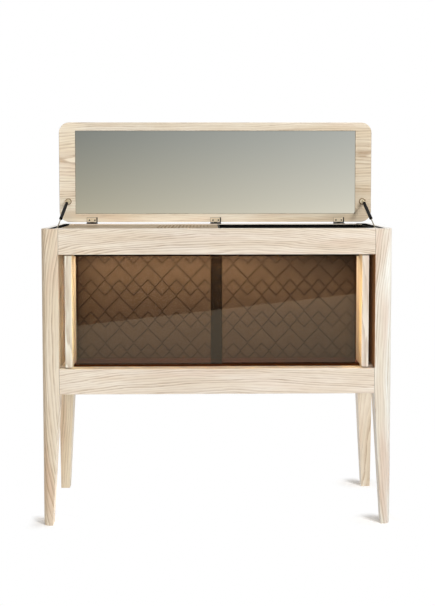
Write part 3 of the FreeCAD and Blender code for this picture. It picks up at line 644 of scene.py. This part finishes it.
# %% Where a metal has another colour
PIVOT_Y, PIVOT_Z, EYE_REACH = 166.075, 1110.15, 13.0
BRACKET_X, BRACKET_RADIUS = 565.3, 12.0
BARREL_TOP, SHADED_END = 1031.0, 4.4


def strut_eye(metal):
    """The bare end of a strut, round its upper pivot."""
    y, z = metal.xyz[1] - PIVOT_Y, metal.xyz[2] - PIVOT_Z
    return ((y * y + z * z) ** 0.5).step(EYE_REACH + 0.6, EYE_REACH)


def bracket_rim(metal):
    """The dark rim of the round plate that a strut's upper pivot stands on."""
    x, z = abs(metal.xyz[0]) - BRACKET_X, metal.xyz[2] - PIVOT_Z
    rim = ((x * x + z * z) ** 0.5).step(BRACKET_RADIUS - 3.4, BRACKET_RADIUS - 2.6)
    return rim * metal.xyz[2].step(RIM + 30, RIM + 31)


def hinge_painted_shade(name):
    """A hinge gets painted shade: dark at its barrel and its right end, and faint along its outline."""
    low, high = corners(name)

    def share(metal):
        x, y, z = metal.xyz
        outline = edge_of(metal, low, high).step(2.0, 0.7) * 0.55
        right_end = x.step(high[0] - SHADED_END, high[0] - SHADED_END + 0.6)
        return outline.most(right_end).most(z.step(BARREL_TOP + 0.4, BARREL_TOP))

    return share


print("bare, rimmed and oiled patches")

# %% The cabinet's metals
burnished = make_metal("burnished_screws", srgb(34, 22, 12), srgb(18, 12, 7), 0.55, metallic=0.2, spots=3.0)
nickel = make_metal(
    "nickel_bracket", srgb(238, 226, 198), srgb(196, 180, 144), 0.32, along=2, metallic=0.4,
    patch=(bracket_rim, srgb(138, 108, 72)),
)
metals = {
    "glass_track": make_metal("bronze_track", srgb(80, 46, 24), srgb(50, 28, 14), 0.46),
    "strut_rod": make_metal("chromed_rod", srgb(150, 138, 118), srgb(96, 86, 72), 0.16, brush=0.005),
    "light_channel": make_metal("channel_aluminium", srgb(72, 58, 46), srgb(50, 40, 32), 0.45),
    "strut_tube": make_metal(
        "black_lacquer", srgb(7, 7, 7), srgb(4, 4, 4), 0.5, brush=0.01, metallic=0.0, shine=0.1,
        patch=(strut_eye, srgb(214, 198, 164)),
    ),
    "strut_lid_bracket": nickel,
    "strut_side_bracket": nickel,
}
for start, metal in metals.items():
    paint(metal, *(name for name in nodes if name.startswith(start)))
hinges = [name for name in nodes if name.startswith("hinge")]
for name in hinges:
    shaded = hinge_painted_shade(name), srgb(16, 10, 6)
    brass = make_metal(
        f"brass_{name}", srgb(250, 232, 202), srgb(224, 200, 162), 0.4, metallic=0.5, patch=shaded
    )
    paint(brass, name)
print("metals for", ", ".join(metals), "and", len(hinges), "hinge pieces")

# %% [markdown]
# ## Black liners
# The right well is lined with a matt black lacquer that is rough enough to hide scratches. Voronoi cells
# a millimetre across give its fine orange peel, and cloudy noise the dust that settles in it.

# %% Liner
liner = Finish("black_liner")
peel = liner.node("ShaderNodeTexVoronoi", {"feature": "SMOOTH_F1"}, {"Vector": liner.spot, "Scale": 0.9})
dust = liner.noise(liner.spot, 30.0, detail=5.0, rough=0.65)
black_liner = liner.done(
    Base_Color=liner.mix(dust.step(0.4, 0.8), srgb(6, 6, 6), srgb(13, 12, 11)),
    Roughness=0.6 + dust.step(0.4, 0.7) * 0.2,
    Normal=liner.bump(peel, 0.06, 0.5),
    Specular_IOR_Level=0.12,
)
paint(black_liner, "bar_well_liner", "bottle_well_liner", "well_side_left")
print("liners are black")

# %% [markdown]
# ## The strip lights
# A warm strip hides in a groove under the top rail and lights the case's front, and a second one hangs
# inside the case, over the shelf. Both show only an opal cover, which is brightest over its diodes and in
# the middle of its length. The covers glow by themselves, and slim lamps just below them throw most of the
# light, since a renderer finds a lamp sooner than a thin glowing mesh. Smaller lamps stand in for the light
# that bounces off the case's edges and its leather.


# %% Opal covers
DIODE_STEP = 16.6


def make_glow(name, strength, bright, dim, least):
    """A lit cover. Its glow falls from all of it, bright millimetres off the middle, to the share least,
    dim millimetres off it."""
    opal = Finish(name)
    fade = abs(opal.xyz[0]).step(dim, bright)
    diode = abs(opal.xyz[0] / DIODE_STEP % 1 - 0.5).step(0.5, 0.1)
    warm = opal.mix(diode * 0.3, (1.0, 0.66, 0.31, 1.0), (1.0, 0.74, 0.4, 1.0))
    shown = opal.mix(least + fade * (1 - least), (0.0, 0.0, 0.0, 1.0), warm)
    return opal.done(
        Base_Color=srgb(246, 238, 224), Roughness=0.5, Emission_Color=shown, Emission_Strength=strength
    )


paint(make_glow("rail_light", 3.0, 490, 520, 0.6), "rail_light_diffuser")
paint(make_glow("case_light", 3.0, 60, 430, 0.25), "light_diffuser")
print("two covers, a diode every", DIODE_STEP, "mm")


# %% Lamps at the front of the case
def add_lamp(name, place, target, size, energy, colour=(1, 1, 1)):
    """An oblong lamp that shines from place towards target. Neither gloss nor the camera sees it."""
    lamp_data = bpy.data.lights.new(name, "AREA")
    lamp_data.shape = "RECTANGLE"
    lamp_data.size, lamp_data.size_y = size
    lamp_data.energy = energy
    lamp_data.color = colour
    lamp = add_object(name, lamp_data)
    away = (Vector(place) - Vector(target)).to_track_quat("Z", "Y").to_matrix().to_4x4()
    lamp.matrix_world = Matrix.Translation(place) @ away
    lamp.visible_glossy = False
    lamp.visible_camera = False
    print(name, energy, "W")


WARM, GOLDEN = (1.0, 0.66, 0.24), (1.0, 0.8, 0.3)
SOFT_WARM, PALE_WARM = (1.0, 0.86, 0.62), (1.0, 0.9, 0.74)
rail_low, rail_high = corners("rail_light_diffuser")
rail_spot = Vector((0, (rail_low[1] + rail_high[1]) / 2, rail_low[2] - 4)) * MM
add_lamp("rail_glow", rail_spot, rail_spot - Vector((0, 0, 1)), (0.8, 0.01), 0.9, WARM)
for way, power, colour in ((-1, 0.128, GOLDEN), (1, 0.24, WARM)):
    edge_spot = Vector((way * 0.42, -0.184, 0.735))
    add_lamp("edge_glow", edge_spot, edge_spot + Vector((way, 0, 0)), (0.012, 0.3), power, colour)
slot_spot = Vector((-0.526, -0.02, 0.73))
add_lamp("slot_glow", slot_spot, slot_spot + Vector((-0.12, -1, 0)), (0.01, 0.34), 0.17, PALE_WARM)

# %% Lamps inside the case
case_low, case_high = corners("light_diffuser")
case_spot = Vector((0, (case_low[1] + case_high[1]) / 2, case_low[2] - 2)) * MM
add_lamp("case_glow", case_spot, case_spot + Vector((0, 0.03, -0.1)), (0.95, 0.012), 1.15, SOFT_WARM)
for height, tall, power in ((0.86, 0.13, 0.93), (0.69, 0.25, 0.83)):
    bounce_spot = Vector((0, -0.139, height))
    add_lamp("case_bounce", bounce_spot, bounce_spot + Vector((0, 1, 0)), (0.95, tall), power, SOFT_WARM)

# %% [markdown]
# ## The pressed lattice at the back of the case
# The back of the case is tan leather pressed with a lattice: a row of large zigzags, then two rows of
# small ones, over and over. All lines lie at 45 degrees. Boolean cuts would leave long thin faces, and a
# bump alone would look flat from the side. So Geometry Nodes lay a fine grid whose cells fit the lattice
# exactly, find each point's distance from the nearest line and press it in by a rule. Widths are counted
# in cells of the grid, and depths in millimetres.

# %% Sizes of the lattice
back_low, back_high = corners("display_back")
CELLS_ACROSS, CELLS_UP = 466, 181
REPEAT_ACROSS, GAP = 48, 2
FIRST_PEAK_ACROSS, FIRST_PEAK_DOWN = 261, 21
PRESS_WIDTH, PRESS_DEPTH = 1.25, 2.2
PILLOW_WIDTH, PILLOW_DEPTH, FLAT_RIM = 5, 0.15, 2.0
cell = (back_high[0] - back_low[0]) / CELLS_ACROSS
print("cells of", round(cell, 3), "mm, one repeat", round(cell * REPEAT_ACROSS, 1), "mm wide")


# %% A geometry tree with named inputs
def new_rule(name, inputs):
    """A Geometry Nodes tree, its named inputs as Values, and the identifier of each."""
    group = bpy.data.node_groups.new(name, "GeometryNodeTree")
    kinds = {float: "NodeSocketFloat", int: "NodeSocketInt"}
    sockets = {}
    for label, value in inputs.items():
        kind = kinds.get(type(value), "NodeSocketMaterial")
        if isinstance(value, bpy.types.Object):
            kind = "NodeSocketObject"
        sockets[label] = group.interface.new_socket(label, in_out="INPUT", socket_type=kind).identifier
    group.interface.new_socket("Geometry", in_out="OUTPUT", socket_type="NodeSocketGeometry")
    rule = Tree(group)
    entry = rule.node("NodeGroupInput")
    named = dict(zip(inputs, rule.others(entry, len(inputs))))
    return rule, named, sockets


def finish_rule(rule, shape, material):
    """Ends a tree with real geometry that has its material."""
    real = rule.node("GeometryNodeRealizeInstances", inputs={0: shape})
    dressed = rule.node("GeometryNodeSetMaterial", inputs={"Geometry": real, "Material": material})
    rule.show(dressed, "NodeGroupOutput")


def grow(name, rule, sockets, inputs):
    """Runs a tree on an empty mesh and keeps what it makes as a plain mesh object."""
    holder = add_object(f"{name}_maker", bpy.data.meshes.new(f"{name}_maker"))
    modifier = holder.modifiers.new(name, "NODES")
    modifier.node_group = rule.tree
    for label, value in inputs.items():
        modifier[sockets[label]] = value
    graph = bpy.context.evaluated_depsgraph_get()
    mesh = bpy.data.meshes.new_from_object(holder.evaluated_get(graph), depsgraph=graph)
    mesh.name = name
    bpy.data.objects.remove(holder)
    print(name, len(mesh.polygons), "faces")
    return add_object(name, mesh)


print("three helpers for Geometry Nodes")


# %% Distance from the lattice's lines
def zigzag(across, repeat):
    """How far a zigzag that starts at a peak has come down, in cells."""
    return abs((across / repeat + 0.5).math("FRACT") - 0.5) * repeat


def lattice_distance(across, down, repeat, gap):
    """Distance in cells from the nearest line, where the rows follow each other with a gap."""
    rows = (
        (zigzag(across, repeat), repeat * 0),
        (zigzag(across, repeat / 2), repeat / 2 + gap),
        (zigzag(across + repeat / 4, repeat / 2), repeat * 0.75 + gap * 2),
    )
    height = repeat + gap * 3
    nearest = None
    for line, start in rows:
        off = abs((down - line - start + height / 2) % height - height / 2)
        nearest = off if nearest is None else nearest.least(off)
    return nearest / math.sqrt(2)


print("one repeat is", REPEAT_ACROSS + GAP * 3, "cells high")


# %% The lattice's tree
leather = Finish("pressed_leather")
lattice_inputs = {
    "Width": (back_high[0] - back_low[0]) * MM, "Height": (back_high[2] - back_low[2]) * MM,
    "Cells across": CELLS_ACROSS, "Cells up": CELLS_UP, "Repeat": float(REPEAT_ACROSS), "Gap": float(GAP),
    "Press width": PRESS_WIDTH, "Press depth": PRESS_DEPTH * MM, "Pillow depth": PILLOW_DEPTH * MM,
    "Material": leather.material,
}
lattice, given, lattice_sockets = new_rule("lattice", lattice_inputs)
grid_inputs = {
    "Size X": given["Width"], "Size Y": given["Height"],
    "Vertices X": given["Cells across"] + 1, "Vertices Y": given["Cells up"] + 1,
}
flat = lattice.node("GeometryNodeMeshGrid", inputs=grid_inputs)
spot_x, spot_y = lattice.parts(lattice.node("GeometryNodeInputPosition"))[:2]
across = (spot_x / given["Width"] + 0.5) * given["Cells across"] - FIRST_PEAK_ACROSS
down = (0.5 - spot_y / given["Height"]) * given["Cells up"] - FIRST_PEAK_DOWN
distance = lattice_distance(across, down, given["Repeat"], given["Gap"])
rim_x = given["Width"] / 2 - abs(spot_x)
rim_y = given["Height"] / 2 - abs(spot_y)
inside = rim_x.least(rim_y).step(0.0, FLAT_RIM * MM)
pressed = distance.step(given["Press width"], 0.0) * inside
pillow = (1 - (distance / PILLOW_WIDTH).clamped()) ** 2 * inside
sink = (pressed * given["Press depth"] + pillow * given["Pillow depth"]) * -1
relief = lattice.node("GeometryNodeSetPosition", inputs={"Geometry": flat, "Offset": lattice.point(z=sink)})
stored = lattice.node(
    "GeometryNodeStoreNamedAttribute",
    {"data_type": "FLOAT", "domain": "POINT"},
    {"Geometry": relief, "Name": "press", "Value": pressed},
)
smooth = lattice.node("GeometryNodeSetShadeSmooth", inputs={"Geometry": stored})
finish_rule(lattice, smooth, given["Material"])
print(len(lattice.tree.nodes), "nodes in the lattice's tree")

# %% Grow the lattice and give it a back
lattice_back = grow("lattice_back", lattice, lattice_sockets, lattice_inputs)
face_front = Matrix.Rotation(math.radians(90), 4, "X")
centre = Vector((0, back_low[1], (back_low[2] + back_high[2]) / 2)) * MM
lattice_back.data.transform(Matrix.Translation(centre) @ face_front)
shell = bmesh.new()
shell.from_mesh(lattice_back.data)
border = [edge for edge in shell.edges if edge.is_boundary]
walls = bmesh.ops.extrude_edge_only(shell, edges=border)["geom"]
deep = Vector((0, (back_high[1] - back_low[1]) * MM, 0))
bmesh.ops.translate(shell, vec=deep, verts=[item for item in walls if isinstance(item, bmesh.types.BMVert)])
bmesh.ops.contextual_create(shell, geom=[item for item in walls if isinstance(item, bmesh.types.BMEdge)])
bmesh.ops.recalc_face_normals(shell, faces=shell.faces)
shell.to_mesh(lattice_back.data)
print("open edges left:", sum(edge.is_boundary for edge in shell.edges))
shell.free()
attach(lattice_back, "cabinet")
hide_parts("display_back")

# %% [markdown]
# ## Leather
# The tree stored how deep each point is pressed as an attribute, which the finish reads: the pressed lines
# are darker and a little glossier, as burnished leather is, and their dark is also painted shade in the
# grooves. Small Voronoi cells with soft edges make the hide's grain. The shelf wears a redder hide without
# the lattice.


# %% Hide
BURNISHED_AND_SHADED, SHADE_BROWN = srgb(34, 20, 12), srgb(40, 28, 20)


def finish_leather(hide, tan, deep, mark=None):
    """Tan is the hide's main colour, deep its darker one, and mark how far each point is pressed in."""
    cells = hide.node(
        "ShaderNodeTexVoronoi", {"feature": "DISTANCE_TO_EDGE"}, {"Vector": hide.spot, "Scale": 0.8}
    )
    grain = cells.step(0.0, 0.16)
    cloud = hide.noise(hide.spot, 55.0, detail=3.0, rough=0.6)
    colour = hide.mix(cloud.step(0.3, 0.75) * 0.5, tan, deep)
    colour = hide.mix((1 - grain) * 0.3, colour, deep)
    # The hide is darker towards its right end, and most of all at the top: painted shade.
    x, y, z = hide.xyz
    painted_shade = (z.step(770, 930) * 0.65 + 0.16) * x.step(20, 430)
    colour = hide.mix(painted_shade, colour, SHADE_BROWN)
    rough = 0.5 + (cloud - 0.5) * 0.2
    if mark is not None:
        # The pressed lines are burnished darker, and the dark also stands in for the grooves' shade:
        # painted shade.
        colour = hide.mix(mark, colour, BURNISHED_AND_SHADED)
        rough = rough - mark * 0.12
    return hide.done(Base_Color=colour, Roughness=rough, Normal=hide.bump(grain, 0.12, 0.5))


press = leather.node("ShaderNodeAttribute", {"attribute_name": "press"}, output=2)
finish_leather(leather, srgb(160, 128, 103), srgb(132, 102, 80), press)
paint(finish_leather(Finish("shelf_leather"), srgb(140, 84, 66), srgb(112, 62, 48)), "display_floor")
print("two hides")

# %% [markdown]
# ## Screws
# Twelve countersunk screws hold the hinges, and twenty more go round the rear panel. They repeat, so one
# screw is modelled with its cross-shaped recess and Geometry Nodes set it out. One tree lays pairs along
# a row of hinges, and another goes round a rectangle.


# %% One screw
def make_screw(name, head, shank, length):
    """A countersunk screw whose head lies in the XY plane, facing up."""
    mesh = bmesh.new()
    count = 24
    angles = [math.tau * index / count for index in range(count)]
    rings = [[(angle, radius) for angle in angles] for radius in (shank, shank, head, head * 0.985)]
    cross = [(angle, head * (0.2 + 0.36 * abs(math.cos(2 * angle)) ** 6)) for angle in angles]
    recess = [(angle, radius * 0.62) for angle, radius in cross]
    heights = [-length, -1.0, -0.12, 0.0, 0.0, -0.55]
    loops = []
    for ring, height in zip((*rings, cross, recess), heights):
        places = ((radius * math.cos(angle), radius * math.sin(angle), height) for angle, radius in ring)
        loops.append([mesh.verts.new(Vector(place) * MM) for place in places])
    for lower, upper in zip(loops, loops[1:]):
        for index in range(count):
            after = (index + 1) % count
            mesh.faces.new((lower[index], lower[after], upper[after], upper[index]))
    mesh.faces.new(loops[0][::-1])
    mesh.faces.new(loops[-1])
    screw = add_object(name, bpy.data.meshes.new(name))
    mesh.to_mesh(screw.data)
    mesh.free()
    return screw


hinge_screw = make_screw("hinge_screw", 3.0, 1.4, 11.0)
print("a screw with", len(hinge_screw.data.polygons), "faces")


# %% Rows of points, and a screw at each
def line_of(rule, count, apart):
    """So many points in a line along X, centred on the origin."""
    start = rule.point(apart * ((1 - count) / 2))
    inputs = {"Count": count, "Start Location": start, "Offset": rule.point(apart)}
    return rule.node("GeometryNodeMeshLine", inputs=inputs)


def set_screws(rule, given, places, **more):
    """Ends a tree with a screw at each place."""
    one = rule.node("GeometryNodeObjectInfo", inputs={"Object": given["Screw"]}, output=-1)
    inputs = {"Points": places, "Instance": one, **more}
    finish_rule(rule, rule.node("GeometryNodeInstanceOnPoints", inputs=inputs), given["Material"])


print("two helpers for screws")

# %% Pairs of screws along the hinges
HINGE_SPREAD, SCREW_SPREAD = 475.0, 21.0
MOST_TURN, TURN_SEED = 1.5, 11
pair_inputs = {
    "Spread": HINGE_SPREAD * MM, "Pair": SCREW_SPREAD * MM, "Screw": hinge_screw, "Material": burnished,
}
pairs, given, pair_sockets = new_rule("screw_pairs", pair_inputs)
row, pair = line_of(pairs, 3, given["Spread"]), line_of(pairs, 2, given["Pair"])
spots = pairs.node("GeometryNodeInstanceOnPoints", inputs={"Points": row, "Instance": pair})
spots = pairs.node("GeometryNodeRealizeInstances", inputs={0: spots})
turn_inputs = {"Min": 0.0, "Max": MOST_TURN, "Seed": TURN_SEED}
turned = pairs.node("FunctionNodeRandomValue", {"data_type": "FLOAT"}, turn_inputs, output=1)
set_screws(pairs, given, spots, Rotation=pairs.point(z=turned))
print(len(pairs.tree.nodes), "nodes in the pairs' tree")

# %% Screws of the lid's leaves and the rail's leaves
screw_low, screw_high = corners("lid_hinge_screws")
lid_screws = grow("lid_leaf_screws", pairs, pair_sockets, pair_inputs)
lid_spot = Vector((0, screw_low[1], (screw_low[2] + screw_high[2]) / 2)) * MM
lid_screws.data.transform(Matrix.Translation(lid_spot) @ face_front)
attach(lid_screws, "lid")
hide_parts("lid_hinge_screws")
screw_low, screw_high = corners("rail_hinge_screws")
rail_screws = grow("rail_leaf_screws", pairs, pair_sockets, pair_inputs)
leaf_spot = Vector((0, (screw_low[1] + screw_high[1]) / 2, screw_high[2])) * MM
rail_screws.data.transform(Matrix.Translation(leaf_spot))
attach(rail_screws, "cabinet")
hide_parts("rail_hinge_screws")
print("hinge screws at", lid_spot, "and", leaf_spot)

# %% Screws round the rear panel
PANEL_MARGIN, PANEL_SCREWS, SCREW_PROUD = 11.0, 20, 0.02
panel_low, panel_high = corners("rear_panel")
around_inputs = {
    "Width": (panel_high[0] - panel_low[0] - PANEL_MARGIN * 2) * MM,
    "Height": (panel_high[2] - panel_low[2] - PANEL_MARGIN * 2) * MM,
    "Count": PANEL_SCREWS, "Screw": hinge_screw, "Material": burnished,
}
around, given, around_sockets = new_rule("screw_frame", around_inputs)
path = around.node(
    "GeometryNodeCurvePrimitiveQuadrilateral", inputs={0: given["Width"], 1: given["Height"]}
)
point_inputs = {"Curve": path, "Count": given["Count"]}
set_screws(around, given, around.node("GeometryNodeCurveToPoints", {"mode": "COUNT"}, point_inputs))
panel_screws = grow("rear_panel_screws", around, around_sockets, around_inputs)
face_back = Matrix.Rotation(math.radians(-90), 4, "X")
panel_spot = Vector((0, panel_high[1] + SCREW_PROUD, (panel_low[2] + panel_high[2]) / 2)) * MM
panel_screws.data.transform(Matrix.Translation(panel_spot) @ face_back)
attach(panel_screws, "cabinet")
bpy.data.objects.remove(hinge_screw)
print("rear panel screws at", panel_spot)

# %% [markdown]
# ## The studio
# The photograph's background is plain white, as on a large pale sweep, and only the shadow close to each
# foot shows. So the floor takes light and shadow round the four feet and gives way to plain white farther
# off. The world does the same above the horizon, so no line shows.


# %% Telling rays apart
def ray_kinds(tree):
    """1 or 0 for rays from the camera, and 1 or 0 for rays from gloss or through glass."""
    rays = tree.node("ShaderNodeLightPath").socket.node.outputs
    kinds = ("Is Camera Ray", "Is Glossy Ray", "Is Transmission Ray")
    seen, gloss, through = (Value(tree, rays[kind]) for kind in kinds)
    return seen, (gloss + through).clamped()


WHITE = (1, 1, 1, 1)
print("the background is plain white for the camera and for gloss")


# %% Floor
def add_sheet(name, places):
    """A flat sheet with its corners at four places, given in metres."""
    mesh = bpy.data.meshes.new(name)
    mesh.from_pydata(places, [], [(0, 1, 2, 3)])
    return add_object(name, mesh)


FLOOR_HALF, FLOOR_DROP = 14.0, 0.0003
signs = ((-1, -1), (1, -1), (1, 1), (-1, 1))
floor = add_sheet("studio_floor", [(x * FLOOR_HALF, y * FLOOR_HALF, -FLOOR_DROP) for x, y in signs])
sweep = Finish("studio_sweep")
seen, gloss = ray_kinds(sweep)
lit = sweep.mix(seen, (0.9, 0.9, 0.9, 1), (1.3, 1.3, 1.3, 1))
matt = sweep.node("ShaderNodeBsdfDiffuse", inputs={"Color": lit})
plain = sweep.node("ShaderNodeEmission", inputs={"Color": WHITE, "Strength": 1.0})
print("floor", FLOOR_HALF * 2, "m across")

# %% Where the floor shows its shadow
# The shadows fall a little to the left of the feet and behind them, and reach farther sideways. None
# shows behind the back left foot or far to the left.
FOOT_X, FOOT_Y, FOOT_MIDDLE = 583.0, 183.5, -4.1
SHADOW_LEFT, SHADOW_BACK, SHADOW_FLAT = 20.0, 16.0, 1.5
SHADOW_FULL, SHADOW_END = 28, 112
floor_x, floor_y = sweep.xyz[:2]
beside_x = abs(floor_x + SHADOW_LEFT) - FOOT_X
beside_y = (abs(floor_y - FOOT_MIDDLE - SHADOW_BACK) - FOOT_Y) * SHADOW_FLAT
from_foot = (beside_x * beside_x + beside_y * beside_y) ** 0.5
back_left = floor_x.step(-300, -400) * floor_y.step(0, 60)
far_left = floor_x.step(-612, -662)
bare = from_foot.step(SHADOW_FULL, SHADOW_END).most(back_left).most(far_left)
share = (seen * bare + gloss).clamped()
sweep.show(sweep.node("ShaderNodeMixShader", inputs={0: share, 1: matt, 2: plain}))
floor.data.materials.append(sweep.material)
print("shadows end", SHADOW_END, "mm from a foot")

# %% World
AMBIENT = 0.28
world = bpy.data.worlds.new("studio_world")
bpy.context.scene.world = world
world.use_nodes = True
sky = Tree(world.node_tree)
world.node_tree.nodes.clear()
dim = sky.node("ShaderNodeBackground", inputs={"Color": WHITE, "Strength": AMBIENT})
white = sky.node("ShaderNodeBackground", inputs={"Color": WHITE, "Strength": 1.0})
seen, gloss = ray_kinds(sky)
mixed = sky.node("ShaderNodeMixShader", inputs={0: (seen + gloss).clamped(), 1: dim, 2: white})
sky.show(mixed, "ShaderNodeOutputWorld")
print("ambient light", AMBIENT)

# %% [markdown]
# ## What the glass and the mirror face
# Behind the camera the studio isn't white. The panes show its dark side over the pale floor, with a slanted
# edge between them, and the mirror shows a grey wall that grows lighter to the right and downwards. One
# card stands behind the camera for gloss alone: no camera sees it and it takes no light.

# %% Reflected card
CARD_Y, CARD_HALF, CARD_TOP = -3600.0, 1250, 1700
PALE_FLOOR_LEFT, PALE_FLOOR_RIGHT = 90, 367
low_left, low_right = (-CARD_HALF, PALE_FLOOR_LEFT), (CARD_HALF, PALE_FLOOR_RIGHT)
card_corners = low_left, low_right, (CARD_HALF, CARD_TOP), (-CARD_HALF, CARD_TOP)
card = add_sheet("reflected_card", [(x * MM, CARD_Y * MM, z * MM) for x, z in card_corners])
for ray in ("camera", "diffuse", "transmission", "volume_scatter", "shadow"):
    setattr(card, f"visible_{ray}", False)
print("card stands", -CARD_Y, "mm in front")

# %% What the card shows
WALL_LEFT, WALL_WIDTH = -1110, 2322
WALL_FOOT, WALL_HEIGHT = 936, 686
DARK_TOP, GREY_FOOT = 800, 930
wall = Finish("reflected_wall")
x, y, z = wall.xyz
sideways = (x - WALL_LEFT) / WALL_WIDTH
upward = ((z - WALL_FOOT) / WALL_HEIGHT).clamped() ** 0.78
low_row = wall.mix(sideways, srgb(186, 178, 160), srgb(226, 219, 206))
high_row = wall.mix(sideways, srgb(137, 138, 134), srgb(182, 182, 179))
grey = wall.mix(upward, low_row, high_row)
shown = wall.mix(z.step(DARK_TOP, GREY_FOOT), (0.012, 0.009, 0.006, 1), grey)
wall.show(wall.node("ShaderNodeEmission", inputs={"Color": shown, "Strength": 1.0}))
card.data.materials.append(wall.material)
print("a dark wall up to", DARK_TOP, "mm and a grey one above")

# %% Studio lamps
add_lamp("key_softbox", (2.4, -2.5, 3.6), (0, 0, 0.6), (1.0, 1.0), 100)
add_lamp("front_softbox", (0.1, -4.6, 1.6), (0, 0, 0.8), (3.0, 1.2), 50)
add_lamp("low_fill", (-0.9, -4.2, 0.3), (0, 0, 0.25), (1.4, 0.4), 5, (1, 0.96, 0.9))
add_lamp("leg_fill", (-0.3, -0.12, 0.05), (-0.57, 0.16, 0.04), (0.3, 0.08), 0.46)
add_lamp("back_softbox", (-1.0, 4.6, 1.7), (0, 0, 0.7), (3.0, 2.0), 34)
